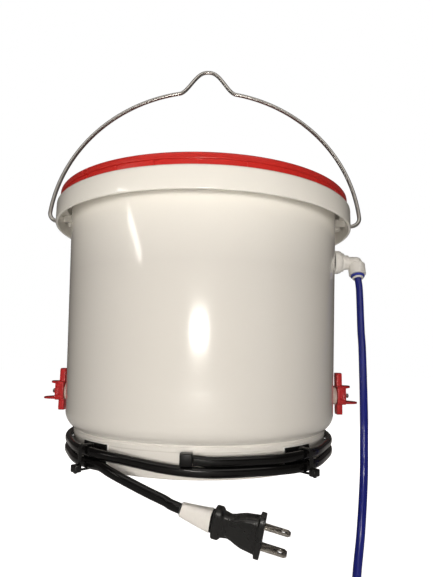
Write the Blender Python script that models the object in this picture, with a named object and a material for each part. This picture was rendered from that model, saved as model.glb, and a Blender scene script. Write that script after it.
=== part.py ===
# Heated chicken waterer: a two gallon pail with a heated base, a press-on lid, a wire bail, two
# side-mount drinkers, a float valve fed by a push-in elbow, and a supply cord wound round its base.
#
# Metres, +Z up. Every piece is placed in the pail's frame: the base stands at z = 0, the pail's
# axis is x = y = 0, -Y is the front, +X the side that the water comes in at. One empty carries
# that frame and moves it so that the world's origin is where a hook holds the bail's hump.
import math

import bmesh
import bpy
from mathutils import Euler, Matrix, Vector

MM = 0.001

# Fits between pieces, and how far a cutter reaches past the face that it cuts
GAP = 0.3 * MM
MOVING_GAP = 0.4 * MM
PAST = 1.0 * MM

# Pail: round wall with draft, base skirt below its floor, turned-out band at its rim. The wall's
# radius is given at mid height; skirt, collar and band stand in or out from it.
PAIL_RADIUS = 120.0 * MM
PAIL_RADIUS_HEIGHT = 123.0 * MM
DRAFT = 0.0266
WALL = 2.2 * MM
SKIRT_INSET = 9.8 * MM
SKIRT_WALL = 3.2 * MM
SKIRT_HEIGHT = 22.5 * MM
NECK_DEPTH = 1.2 * MM
CORNER_RADIUS = 15.0 * MM
FLOOR_BOTTOM = 29.0 * MM
FLOOR = 2.5 * MM
INNER_CORNER_RADIUS = 12.0 * MM
BAND_TOP = 213.5 * MM
BAND_HEIGHT = 18.0 * MM
BAND_PROUD = 6.3 * MM
COLLAR_PROUD = 9.0 * MM
COLLAR_HEIGHT = 5.9 * MM
BEAD = 0.5 * MM
PAIL_STEPS = 56

# Lid
LID_SKIRT = 2.0 * MM
LID_PLATE = 1.8 * MM
LID_PANEL = 2.0 * MM
LID_PANEL_DEPTH = 4.1 * MM
LID_STEP = 0.6 * MM
LID_STEP_HEIGHT = 4.5 * MM
LID_PLUG_DEPTH = 5.5 * MM
LID_RIM_WIDTH = 17.0 * MM
LID_GASKET = 1.3 * MM
LID_GASKET_WIDTH = 4.5 * MM
NOTCH_COUNT = 26
LID_STEPS = 56
NOTCH_WIDTH = 4.0 * MM
NOTCH_HEIGHT = 4.0 * MM

# Bail
WIRE_RADIUS = 1.9 * MM
BAIL_CLEARANCE = 14.7 * MM
BAIL_PIVOT_DROP = 5.0 * MM
BAIL_LEAN = math.radians(8.0)
BAIL_BEND = 9.0 * MM
WIRE_END_GAP = 2.5 * MM
HUMP_RISE = 24.0 * MM
HUMP_HALF_WIDTH = 29.5 * MM
EAR_RIB = 2.0 * MM
EAR_HALF_WIDTH = 9.0 * MM
EAR_RIB_DROP = 5.8 * MM

# Heater space under the floor
COVER_BOTTOM = 2.6 * MM
COVER = 2.4 * MM
BOSS_RADIUS = 4.5 * MM
BOSS_INSET = 22.0 * MM
BOSS_COUNT = 4
SCREW_RADIUS = 1.5 * MM
SCREW_HEAD_RADIUS = 3.4 * MM
SCREW_HEAD = 1.5 * MM
SCREW_GRIP = 8.0 * MM
PILOT_ROOM = 2.0 * MM
PLATE_THICKNESS = 1.5 * MM
PLATE_CLEARANCE = 1.5 * MM
MAT_INNER_RADIUS = 30.0 * MM
MAT_INSET = 8.0 * MM
MAT = 2.3 * MM
THERMOSTAT_RADIUS = 8.0 * MM
THERMOSTAT_FLANGE_RADIUS = 11.0 * MM
THERMOSTAT_HEIGHT = 9.5 * MM
TERMINAL = 4.5 * MM
TERMINAL_WIDTH = 6.4 * MM
TERMINAL_THICKNESS = 0.8 * MM
FOAM_DISC_CLEARANCE = 6.0 * MM
FOAM_DISC = 7.0 * MM
LEAD_RADIUS = 2.5 * MM
LEAD_STRAIGHT = 15.0 * MM

# Drinkers: one on each side, just above the round of the pail's inner corner
DRINKER_RISE = 5.3 * MM
SHANK_RADIUS = 5.2 * MM
SHANK_LENGTH = 15.0 * MM
WASHER_RADIUS = 8.0 * MM
WASHER_STAND_OFF = 0.5 * MM
WASHER = 4.8 * MM
PLATE = 5.0 * MM
PLATE_CORNER = 2.0 * MM
ARM_WIDTH = 10.0 * MM
ARM_TOP = 20.5 * MM
ARM_BOTTOM = -16.8 * MM
BLOCK_WIDTH = 18.0 * MM
BLOCK_TOP = 8.5 * MM
BLOCK_BOTTOM = -7.6 * MM
BLOCK_PROUD = 2.5 * MM
HOOD_REACH = 8.0 * MM
HOOD_THICKNESS = 3.2 * MM
HOOD_RISE = 1.2 * MM
TRAY_REACH = 14.4 * MM
TRAY_THICKNESS = 3.2 * MM
TRAY_RISE = 0.4 * MM
LIP_WIDTH = 15.0 * MM
WINDOW_DEPTH = 1.4 * MM
WINDOW_EDGE = 1.3 * MM
WINDOW_SILL = 4.6 * MM
WINDOW_HEAD = 4.0 * MM
PIN_RADIUS = 2.0 * MM
PIN_PROUD = 4.3 * MM
PIN_BORE_RADIUS = 3.1 * MM
PIN_HEAD_RADIUS = 3.3 * MM
PIN_HEAD = 1.5 * MM
PIN_EDGE = 0.5 * MM
PIN_TIP = 0.8 * MM
PIN_PIVOT_DEPTH = 2.4 * MM
CHAMBER_RADIUS = 3.9 * MM
CHAMBER_FRONT = 0.3 * MM
SEAL_THICKNESS = 1.0 * MM
SEAL_BORE_RADIUS = 2.5 * MM
NUT_RADIUS = 9.0 * MM
NUT_THICKNESS = 5.0 * MM

# Fill fitting and float valve, on the +X side, below the band's top edge
FILL_DROP = 40.5 * MM
FILL_SHANK_RADIUS = 6.5 * MM
FILL_SHANK_LENGTH = 16.0 * MM
FILL_BORE_RADIUS = 2.0 * MM
FILL_WASHER = 1.5 * MM
FILL_WASHER_INSET = 1.0 * MM
FLANGE_RADIUS = 11.0 * MM
FLANGE = 7.4 * MM
FLANGE_EDGE = 0.6 * MM
FLANGE_RING_RADIUS = 8.8 * MM
FLANGE_RING = 1.9 * MM
FILL_COLLAR_RADIUS = 6.9 * MM
FILL_COLLAR = 4.6 * MM
STEM_RADIUS = 3.0 * MM
STEM_LENGTH = 9.0 * MM
ELBOW_REACH = 7.5 * MM
ELBOW_RADIUS = 5.5 * MM
ELBOW_TILT = math.radians(17.0)
SOCKET_RADIUS = 7.8 * MM
SOCKET_LENGTH = 13.0 * MM
SOCKET_TOP = 1.5 * MM
SOCKET_EDGE = 0.8 * MM
SOCKET_FLOOR = 2.0 * MM
WAY_RADIUS = 1.7 * MM
STEM_WAY_RADIUS = 1.6 * MM
TUBE_RADIUS = 3.175 * MM
TUBE_INSERT = 7.0 * MM
COLLET_WALL = 0.9 * MM
COLLET_HEAD_RADIUS = 5.1 * MM
COLLET_HEAD = 1.4 * MM
CLIP_RADIUS = 6.3 * MM
CLIP = 2.0 * MM
VALVE_LENGTH = 17.0 * MM
VALVE_HALF_WIDTH = 8.0 * MM
VALVE_SPOUT = 6.0 * MM
CHEEK = 2.6 * MM
CHEEK_REACH = 10.0 * MM
ARM_HINGE_RADIUS = 1.2 * MM
ARM_HINGE_PROUD = 1.0 * MM
ARM_LENGTH = 46.0 * MM
ARM_HALF_HEIGHT = 3.2 * MM
ARM_DROOP = math.radians(20.0)
FLOAT_RADIUS = 17.0 * MM
FLOAT_HEIGHT = 28.0 * MM
FLOAT_SPIGOT = 9.0 * MM
FLOAT_CORNER = 3.0 * MM

# Supply cord: flat twin cord, as a round tube of its width
CORD_RADIUS = 3.5 * MM
CORD_WALL_GAP = 0.5 * MM
LOWER_LOOP_HEIGHT = 6.0 * MM
LOOP_SPACING = 8.2 * MM
LOOP_POINTS = 24
OUTLET_CENTRE_X = -5.5 * MM
OUTLET_HALF_WIDTH = 4.3 * MM
OUTLET_PROUD = 8.0 * MM
OUTLET_RISE = 0.8 * MM
OUTLET_HALF_HEIGHT = 4.0 * MM
OUTLET_NECK_INSET = 0.9 * MM
OUTLET_FLANGE = 2.2 * MM
OUTLET_FLANGE_LAP = 1.2 * MM
TIE_AZIMUTH = 41.5
MOUNT_WIDTH = 28.0 * MM
MOUNT_HEIGHT = 19.0 * MM
FOAM_PAD = 1.0 * MM
MOUNT_PLATE = 1.2 * MM
MOUNT_INSET = 0.5 * MM
SADDLE_END = 4.5 * MM
SADDLE_HALF_WIDTH = 3.6 * MM
SADDLE_ROOF = 1.0 * MM
STRAP_THICKNESS = 1.1 * MM
STRAP_WIDTH = 3.4 * MM
STRAP_CORNER = 1.0 * MM
TIE_HEAD = 5.2 * MM
DROP_START = 313.5
DROP_END = 368.0
BUMP_HALF_ANGLE = 24.0

# Free end of the cord: route from the winding's end at the left tie to the plug, in millimetres
LEAD_ROUTE = (
    (13.3, -11.9, 0.3), (21.0, -18.0, -1.9), (29.6, -22.6, -4.6), (39.6, -26.1, -8.2),
    (49.6, -28.8, -11.9), (60.4, -31.3, -15.8),
)
PLUG_FROM_WINDING = (71.462, -33.887, -20.6)
PLUG_ROLL = math.radians(8.7)
PLUG_PITCH = math.radians(11.5)
PLUG_YAW = math.radians(-11.8)
RELIEF_BEND = 1.2 * MM
RELIEF_LENGTH = 22.0 * MM
RELIEF_NECK = (5.0 * MM, 8.0 * MM)
RELIEF_FOOT = (9.0 * MM, 14.4 * MM)
LABEL_THICKNESS = 0.35 * MM
LABEL_TUCK = 0.5 * MM
PLUG_LENGTH = 31.8 * MM
PLUG_THICKNESS = 14.0 * MM
PLUG_WIDTH = 26.8 * MM
BLADE_SPACING = 12.7 * MM
BLADE_LENGTH = 16.0 * MM
BLADE_WIDTH = 6.35 * MM
WIDE_BLADE_WIDTH = 7.9 * MM
BLADE_THICKNESS = 1.5 * MM
BLADE_HOLE_RADIUS = 1.6 * MM
BLADE_HOLE_INSET = 4.4 * MM
BLADE_BEVEL = 1.6 * MM
BLADE_SEAT = 8.0 * MM

# The plug's moulding from the relief to its face: shares of its length, thickness and width
PLUG_SHAPE = (
    (0.0, 0.786, 0.653), (0.03, 0.893, 0.709), (0.15, 0.893, 0.709), (0.19, 0.714, 0.578),
    (0.33, 0.643, 0.522), (0.5, 0.786, 0.653), (0.62, 0.857, 0.746), (0.88, 0.893, 0.84),
    (0.89, 1.0, 1.0), (1.0, 1.0, 1.0),
)

# Blue tube: route from the fill point down to the coil that stores the rest, in millimetres
TUBE_ROUTE = (
    (19.8, -24.0, -65.0), (17.7, -33.0, -83.0), (12.1, -51.5, -129.4), (9.7, -57.6, -156.0),
    (7.4, -62.0, -182.5), (0.8, -74.0, -215.5), (-4.7, -80.0, -244.0), (-6.9, -82.0, -270.0),
    (-7.33, -82.4, -292.0),
)
COIL_FROM_FILL = (-7.33, -82.4, -314.0)
COIL_MEAN_RADIUS = 38.0 * MM
COIL_TURNS = 6.5
COIL_PITCH = 6.95 * MM
COIL_TIE_ANGLES = (100.0, 280.0)
COIL_TIE_WIDTH = 4.0 * MM
COIL_TIE_THICKNESS = 1.2 * MM


# Derived places that several pieces share

def wall_radius(height):
    return PAIL_RADIUS + (height - PAIL_RADIUS_HEIGHT) * DRAFT


SKIRT_RADIUS = PAIL_RADIUS - SKIRT_INSET
SKIRT_INNER = SKIRT_RADIUS - SKIRT_WALL
COLLAR_RADIUS = PAIL_RADIUS + COLLAR_PROUD
BAND_RADIUS = COLLAR_RADIUS + BAND_PROUD
BAND_BOTTOM = BAND_TOP - BAND_HEIGHT
PAIL_TOP = BAND_TOP + COLLAR_HEIGHT
FLOOR_TOP = FLOOR_BOTTOM + FLOOR
COVER_TOP = COVER_BOTTOM + COVER
BOSS_CIRCLE = SKIRT_INNER - BOSS_INSET
PLATE_RADIUS = BOSS_CIRCLE - BOSS_RADIUS - PLATE_CLEARANCE
DRINKER_HEIGHT = FLOOR_TOP + INNER_CORNER_RADIUS + DRINKER_RISE
FILL_HEIGHT = BAND_TOP - FILL_DROP
FILL_POINT = Vector((wall_radius(FILL_HEIGHT), 0, FILL_HEIGHT))
UPPER_LOOP_HEIGHT = LOWER_LOOP_HEIGHT + LOOP_SPACING
BAIL_PIVOT_HEIGHT = BAND_TOP - BAIL_PIVOT_DROP
BAIL_RADIUS = BAND_RADIUS + BAIL_CLEARANCE
BAIL_REACH = BAIL_RADIUS + HUMP_RISE
HOOK_REACH = BAIL_REACH - WIRE_RADIUS
HOOK = Vector((0, HOOK_REACH * math.sin(BAIL_LEAN), BAIL_PIVOT_HEIGHT + HOOK_REACH * math.cos(BAIL_LEAN)))


# Materials, by colour, roughness and metallic value
def finish(name, colour, roughness, metallic=0.0):
    material = bpy.data.materials.new(name)
    material.use_nodes = True
    shader = material.node_tree.nodes["Principled BSDF"]
    shader.inputs["Base Color"].default_value = (*colour, 1.0)
    shader.inputs["Roughness"].default_value = roughness
    shader.inputs["Metallic"].default_value = metallic
    return material


def clear_scene():
    for old in list(bpy.data.objects):
        bpy.data.objects.remove(old, do_unlink=True)


clear_scene()
WHITE = finish("white_pail", (0.84, 0.82, 0.78), 0.32)
RED = finish("red_plastic", (0.62, 0.03, 0.03), 0.38)
STEEL = finish("steel_wire", (0.45, 0.44, 0.42), 0.3, 1.0)
RUBBER = finish("black_rubber", (0.02, 0.02, 0.02), 0.7)
PALE_RUBBER = finish("pale_rubber", (0.55, 0.43, 0.38), 0.65)
NYLON = finish("black_nylon", (0.03, 0.03, 0.03), 0.45)
CORD = finish("black_cord", (0.015, 0.015, 0.015), 0.35)
FITTING = finish("white_fitting", (0.88, 0.86, 0.82), 0.35)
BLUE = finish("blue_clip", (0.03, 0.05, 0.4), 0.4)
TUBE = finish("blue_tube", (0.01, 0.02, 0.25), 0.3)
PAPER = finish("white_paper", (0.9, 0.88, 0.86), 0.6)
FOAM = finish("white_foam", (0.9, 0.9, 0.88), 0.9)
NICKEL = finish("nickel_blade", (0.6, 0.58, 0.55), 0.3, 1.0)
ALUMINIUM = finish("aluminium_plate", (0.75, 0.75, 0.76), 0.4, 1.0)
SILICONE = finish("red_silicone", (0.5, 0.12, 0.08), 0.7)

# The pail's frame, and the frames that stand on its wall
PAIL_FRAME = bpy.data.objects.new("pail_frame", None)
bpy.context.collection.objects.link(PAIL_FRAME)
PAIL_FRAME.location = -HOOK


def frame(name, location, rotation=(0, 0, 0), parent=PAIL_FRAME):
    empty = bpy.data.objects.new(name, None)
    bpy.context.collection.objects.link(empty)
    empty.location = location
    empty.rotation_euler = rotation
    empty.parent = parent
    return empty


# Shapes

def mesh_from(bm, name):
    bmesh.ops.recalc_face_normals(bm, faces=bm.faces)
    mesh = bpy.data.meshes.new(name)
    bm.to_mesh(mesh)
    bm.free()
    return mesh


def piece(name, bm, material, parent=PAIL_FRAME, location=(0, 0, 0), rotation=(0, 0, 0)):
    mesh = mesh_from(bm, name)
    mesh.materials.append(material)
    obj = bpy.data.objects.new(name, mesh)
    bpy.context.collection.objects.link(obj)
    obj.parent = parent
    obj.location = location
    obj.rotation_euler = rotation
    return obj


def round_off(obj, angle=32.0):
    obj.data.shade_smooth()
    obj.data.set_sharp_from_angle(angle=math.radians(angle))


def lathe(profile, steps, start=0.0, sweep=math.tau):
    """Turn a closed profile of (radius, height) points round Z."""
    bm = bmesh.new()
    full = abs(sweep - math.tau) < 1e-6
    columns = steps if full else steps + 1
    rings = []
    for radius, height in profile:
        if radius < 1e-7:
            rings.append([bm.verts.new((0, 0, height))] * columns)
            continue
        angles = [start + sweep * i / steps for i in range(columns)]
        rings.append([bm.verts.new((radius * math.cos(a), radius * math.sin(a), height)) for a in angles])
    for lower, upper in zip(rings, rings[1:] + rings[:1]):
        for i in range(steps):
            j = (i + 1) % columns
            corners = []
            for vert in (lower[i], lower[j], upper[j], upper[i]):
                if vert not in corners:
                    corners.append(vert)
            if len(corners) > 2:
                bm.faces.new(corners)
    if not full:
        bm.faces.new([ring[0] for ring in rings])
        bm.faces.new([ring[-1] for ring in reversed(rings)])
    return bm


def extrude(outline, low, high):
    """A prism of an (x, y) outline, from z = low to z = high."""
    bm = bmesh.new()
    bottom = [bm.verts.new((x, y, low)) for x, y in outline]
    top = [bm.verts.new((x, y, high)) for x, y in outline]
    bm.faces.new(list(reversed(bottom)))
    bm.faces.new(top)
    for i in range(len(outline)):
        j = (i + 1) % len(outline)
        bm.faces.new((bottom[i], bottom[j], top[j], top[i]))
    return bm


def box(low, high):
    outline = ((low[0], low[1]), (high[0], low[1]), (high[0], high[1]), (low[0], high[1]))
    return extrude(outline, low[2], high[2])


def loft(sections, points=14, squareness=3.0):
    """A body along X through sections of (x, thickness along Y, width along Z), with rounded corners."""
    bm = bmesh.new()
    rings = []
    for x, thickness, width in sections:
        ring = []
        for i in range(points):
            angle = math.tau * (i + 0.5) / points
            c, s = math.cos(angle), math.sin(angle)
            y = 0.5 * thickness * math.copysign(abs(c) ** (2 / squareness), c)
            z = 0.5 * width * math.copysign(abs(s) ** (2 / squareness), s)
            ring.append(bm.verts.new((x, y, z)))
        rings.append(ring)
    for near, far in zip(rings, rings[1:]):
        for i in range(points):
            j = (i + 1) % points
            bm.faces.new((near[i], near[j], far[j], far[i]))
    bm.faces.new(list(reversed(rings[0])))
    bm.faces.new(rings[-1])
    return bm


def along_x(bm, offset=0.0):
    """Turn a shape built round Z so that its axis is X."""
    bm.transform(Matrix.Translation((offset, 0, 0)) @ Matrix.Rotation(math.radians(90), 4, "Y"))
    return bm


def mirrored(bm):
    bm.transform(Matrix.Scale(-1, 4, (1, 0, 0)))
    bmesh.ops.reverse_faces(bm, faces=bm.faces)
    return bm


def moved(bm, x=0.0, y=0.0, z=0.0):
    bm.transform(Matrix.Translation((x, y, z)))
    return bm


def merged(*shapes):
    """Several separate shapes as one mesh, for a cutter."""
    target = bmesh.new()
    for shape in shapes:
        bmesh.ops.recalc_face_normals(shape, faces=shape.faces)
        mesh = bpy.data.meshes.new("temporary")
        shape.to_mesh(mesh)
        shape.free()
        target.from_mesh(mesh)
        bpy.data.meshes.remove(mesh)
    return target


def combine(obj, bm, operation):
    """Apply one exact Boolean between a piece and a shape in the piece's own frame."""
    mesh = mesh_from(bm, "cutter")
    cutter = bpy.data.objects.new("cutter", mesh)
    bpy.context.collection.objects.link(cutter)
    cutter.parent = obj.parent
    cutter.location = obj.location
    cutter.rotation_euler = obj.rotation_euler
    modifier = obj.modifiers.new("boolean", "BOOLEAN")
    modifier.operation = operation
    modifier.solver = "EXACT"
    modifier.object = cutter
    bpy.context.view_layer.update()
    evaluated = obj.evaluated_get(bpy.context.evaluated_depsgraph_get())
    result = bpy.data.meshes.new_from_object(evaluated)
    obj.modifiers.clear()
    obj.data = result
    result.name = obj.name
    bpy.data.objects.remove(cutter, do_unlink=True)
    bpy.data.meshes.remove(mesh)


def cut(obj, bm):
    combine(obj, bm, "DIFFERENCE")


def add(obj, bm):
    combine(obj, bm, "UNION")


def rod(radius, low, high, steps=24):
    """A solid cylinder round Z."""
    return lathe(((0, low), (radius, low), (radius, high), (0, high)), steps)


def washer(inner, outer, low, high, steps=32):
    return lathe(((inner, low), (outer, low), (outer, high), (inner, high)), steps)


def wire(name, points, radius, resolution, material, parent=PAIL_FRAME):
    """A tube along points, with closed ends."""
    curve = bpy.data.curves.new(name, "CURVE")
    curve.dimensions = "3D"
    curve.resolution_u = 1
    curve.bevel_depth = radius
    curve.bevel_resolution = resolution
    curve.use_fill_caps = True
    spline = curve.splines.new("POLY")
    spline.points.add(len(points) - 1)
    for target, source in zip(spline.points, points):
        target.co = (*source, 1.0)
    curve.materials.append(material)
    obj = bpy.data.objects.new(name, curve)
    bpy.context.collection.objects.link(obj)
    obj.parent = parent
    return obj


def smooth_route(route, spacing):
    """Points a spacing apart, read from a smooth curve through the route's points."""
    dense = []
    ends = [route[0] * 2 - route[1], *route, route[-1] * 2 - route[-2]]
    for a, b, c, d in zip(ends, ends[1:], ends[2:], ends[3:]):
        for i in range(20):
            t = i / 20
            dense.append(0.5 * ((2 * b) + (c - a) * t + (2 * a - 5 * b + 4 * c - d) * t ** 2
                                + (3 * b - a - 3 * c + d) * t ** 3))
    dense.append(route[-1])
    total = sum((q - p).length for p, q in zip(dense, dense[1:]))
    count = max(2, round(total / spacing))
    points = [dense[0]]
    run = 0.0
    for p, q in zip(dense, dense[1:]):
        step = (q - p).length
        while len(points) < count and run + step >= total * len(points) / count:
            points.append(p.lerp(q, (total * len(points) / count - run) / step))
        run += step
    points.append(dense[-1])
    return points


def beyond(origin, offsets):
    """Places at offsets in millimetres from an origin."""
    return [origin + Vector(offset) * MM for offset in offsets]


def arc(centre_radius, centre_height, radius, first, last, count):
    """Points (radius, height) of a circular stretch of a profile, angles in degrees."""
    angles = [math.radians(first + (last - first) * i / count) for i in range(count + 1)]
    return [(centre_radius + radius * math.cos(a), centre_height + radius * math.sin(a)) for a in angles]


def around(azimuth, radius, height):
    """A point at an azimuth in degrees from the front, towards +X."""
    a = math.radians(azimuth)
    return Vector((radius * math.sin(a), -radius * math.cos(a), height))


def least_gap(points, radius, skip):
    """The least clear distance of a tube to itself, between stretches more than skip points apart."""
    least = math.inf
    for i in range(len(points) - 1):
        for j in range(i + skip, len(points) - 1):
            for s in (0.0, 0.5):
                p = points[i].lerp(points[i + 1], s)
                a, b = points[j], points[j + 1]
                t = max(0.0, min(1.0, (p - a).dot(b - a) / (b - a).length_squared))
                least = min(least, (p - a.lerp(b, t)).length)
    return least - 2 * radius


# Pail

def pail_profile():
    neck = SKIRT_RADIUS - NECK_DEPTH
    corner_start = wall_radius(SKIRT_HEIGHT + CORNER_RADIUS) - CORNER_RADIUS
    lean = math.degrees(math.acos((neck - corner_start) / CORNER_RADIUS))
    corner_height = SKIRT_HEIGHT + CORNER_RADIUS * math.sin(math.radians(lean))
    corner_centre = wall_radius(corner_height) - CORNER_RADIUS
    inner_height = FLOOR_TOP + INNER_CORNER_RADIUS
    inner_centre = wall_radius(inner_height) - WALL - INNER_CORNER_RADIUS
    collar_inner = COLLAR_RADIUS - WALL
    band_inner = BAND_RADIUS - WALL
    profile = [(0, FLOOR_BOTTOM), (SKIRT_INNER, FLOOR_BOTTOM), (SKIRT_INNER, 0), (SKIRT_RADIUS, 0)]
    profile += [(SKIRT_RADIUS, SKIRT_HEIGHT - 2.0 * NECK_DEPTH)]
    profile += arc(corner_centre, corner_height, CORNER_RADIUS, -lean, 0, 4)
    profile += [(wall_radius(PAIL_TOP - WALL), PAIL_TOP - WALL), (collar_inner, PAIL_TOP - WALL)]
    profile += [(collar_inner, BAND_TOP - WALL), (band_inner, BAND_TOP - WALL)]
    profile += [(band_inner, BAND_BOTTOM), (BAND_RADIUS, BAND_BOTTOM)]
    profile += [(BAND_RADIUS, BAND_TOP - 0.8 * WALL), (BAND_RADIUS - 0.8 * WALL, BAND_TOP)]
    profile += [(COLLAR_RADIUS, BAND_TOP), (COLLAR_RADIUS, PAIL_TOP - 4 * BEAD)]
    profile += [(COLLAR_RADIUS + BEAD, PAIL_TOP - 2 * BEAD), (COLLAR_RADIUS, PAIL_TOP)]
    profile += [(wall_radius(PAIL_TOP) - WALL, PAIL_TOP)]
    profile += list(reversed(arc(inner_centre, inner_height, INNER_CORNER_RADIUS, -90, 0, 3)))
    profile += [(0, FLOOR_TOP)]
    return profile


def outlet_box(grow, low_y, high_y):
    centre = UPPER_LOOP_HEIGHT + OUTLET_RISE
    half_width = OUTLET_HALF_WIDTH + grow
    half_height = OUTLET_HALF_HEIGHT + grow
    low = (OUTLET_CENTRE_X - half_width, low_y, centre - half_height)
    high = (OUTLET_CENTRE_X + half_width, high_y, centre + half_height)
    return box(low, high)


def build_pail():
    pail = piece("bucket", lathe(pail_profile(), PAIL_STEPS), WHITE)
    rib_low = BAND_TOP - WALL - EAR_RIB_DROP
    for side in (-1, 1):
        for edge in (-EAR_HALF_WIDTH, EAR_HALF_WIDTH - EAR_RIB):
            inner = side * (wall_radius(rib_low) - 0.6 * WALL)
            outer = side * (BAND_RADIUS - 0.5 * WALL)
            low = (min(inner, outer), edge, rib_low)
            high = (max(inner, outer), edge + EAR_RIB, BAND_TOP - 0.5 * WALL)
            add(pail, box(low, high))
        hole = rod(WIRE_RADIUS + MOVING_GAP, BAND_RADIUS - 2 * WALL, BAND_RADIUS + WALL, 16)
        cut(pail, moved(along_x(hole) if side > 0 else mirrored(along_x(hole)), z=BAIL_PIVOT_HEIGHT))
    for i in range(BOSS_COUNT):
        spot = around(360 * (i + 0.5) / BOSS_COUNT, BOSS_CIRCLE, 0)
        boss = rod(BOSS_RADIUS, COVER_TOP + GAP, FLOOR_BOTTOM + 0.4 * FLOOR, 16)
        add(pail, moved(boss, spot.x, spot.y))
        pilot = rod(SCREW_RADIUS + GAP, 0, COVER_TOP + GAP + SCREW_GRIP + PILOT_ROOM, 12)
        cut(pail, moved(pilot, spot.x, spot.y))
    for side in (-1, 1):
        hole = along_x(rod(SHANK_RADIUS + GAP, SKIRT_RADIUS - 5 * WALL, PAIL_RADIUS + 5 * WALL, 24))
        cut(pail, moved(hole if side > 0 else mirrored(hole), z=DRINKER_HEIGHT))
    hole = along_x(rod(FILL_SHANK_RADIUS + GAP, SKIRT_RADIUS - 5 * WALL, PAIL_RADIUS + 5 * WALL, 24))
    cut(pail, moved(hole, z=FILL_HEIGHT))
    neck = GAP - OUTLET_NECK_INSET
    cut(pail, outlet_box(neck, -SKIRT_RADIUS - WALL, -SKIRT_INNER + 2 * WALL))
    round_off(pail)


# Lid

def build_lid():
    lid_low = BAND_TOP + GAP
    skirt_inner = COLLAR_RADIUS + BEAD + MOVING_GAP
    skirt_radius = skirt_inner + LID_SKIRT
    outer = skirt_radius + LID_STEP
    underside = PAIL_TOP + 2 * GAP + LID_GASKET
    top = underside + LID_PLATE
    panel_top = top - LID_PANEL_DEPTH
    panel_radius = COLLAR_RADIUS - LID_RIM_WIDTH
    plug_outer = wall_radius(BAND_TOP) - WALL - 2 * GAP
    plug_inner = plug_outer - LID_SKIRT
    step = lid_low + LID_STEP_HEIGHT
    profile = [(0, panel_top - LID_PANEL), (plug_inner, panel_top - LID_PANEL)]
    profile += [(plug_inner, underside - LID_PLUG_DEPTH), (plug_outer, underside - LID_PLUG_DEPTH)]
    profile += [(plug_outer, underside), (skirt_inner, underside), (skirt_inner, lid_low)]
    profile += [(skirt_radius, lid_low), (skirt_radius, step), (outer, step)]
    profile += [(outer, top - 0.7 * LID_PLATE), (outer - 0.7 * LID_PLATE, top)]
    profile += [(panel_radius + LID_PANEL_DEPTH, top), (panel_radius, panel_top), (0, panel_top)]
    lid = piece("lid", lathe(profile, LID_STEPS), RED)
    notches = []
    for i in range(NOTCH_COUNT):
        low = (-NOTCH_WIDTH / 2, -outer - LID_SKIRT, lid_low - LID_SKIRT)
        high = (NOTCH_WIDTH / 2, -skirt_inner + 0.2 * LID_SKIRT, lid_low + NOTCH_HEIGHT)
        notch = box(low, high)
        notch.transform(Matrix.Rotation(math.tau * (i + 0.5) / NOTCH_COUNT, 4, "Z"))
        notches.append(notch)
    cut(lid, merged(*notches))
    round_off(lid)
    centre = (COLLAR_RADIUS + wall_radius(PAIL_TOP) - WALL) / 2
    ring = washer(centre - LID_GASKET_WIDTH / 2, centre + LID_GASKET_WIDTH / 2,
                  PAIL_TOP + GAP, PAIL_TOP + GAP + LID_GASKET, 40)
    round_off(piece("lid_gasket", ring, RUBBER))


# Bail: built upright about its pivot, then leaned back

def bail_height(x):
    hump = math.cos(min(1.0, (abs(x) / HUMP_HALF_WIDTH) ** 1.2) * math.pi / 2) ** 2
    return math.sqrt(BAIL_RADIUS ** 2 - x ** 2) + HUMP_RISE * hump


def build_bail():
    pivot = frame("bail_pivot", (0, 0, BAIL_PIVOT_HEIGHT), (-BAIL_LEAN, 0, 0))
    foot = math.asin(BAIL_BEND / BAIL_RADIUS)
    foot_x = BAIL_RADIUS * math.cos(foot)
    hump_start = math.acos(HUMP_HALF_WIDTH / BAIL_RADIUS)
    side = [(wall_radius(BAIL_PIVOT_HEIGHT) + WIRE_END_GAP, 0.0)]
    side += arc(foot_x - BAIL_BEND, BAIL_BEND, BAIL_BEND, -90, 0, 4)
    for i in range(1, 17):
        angle = foot + (hump_start - foot) * i / 16
        side.append((BAIL_RADIUS * math.cos(angle), BAIL_RADIUS * math.sin(angle)))
    for i in range(1, 11):
        x = HUMP_HALF_WIDTH * (1 - i / 10)
        side.append((x, bail_height(x)))
    right = [Vector((x, 0, z)) for x, z in side]
    left = [Vector((-x, 0, z)) for x, z in reversed(side[:-1])]
    wire("bail_wire", right + left, WIRE_RADIUS, 2, STEEL, pivot)


# Heater space

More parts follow.
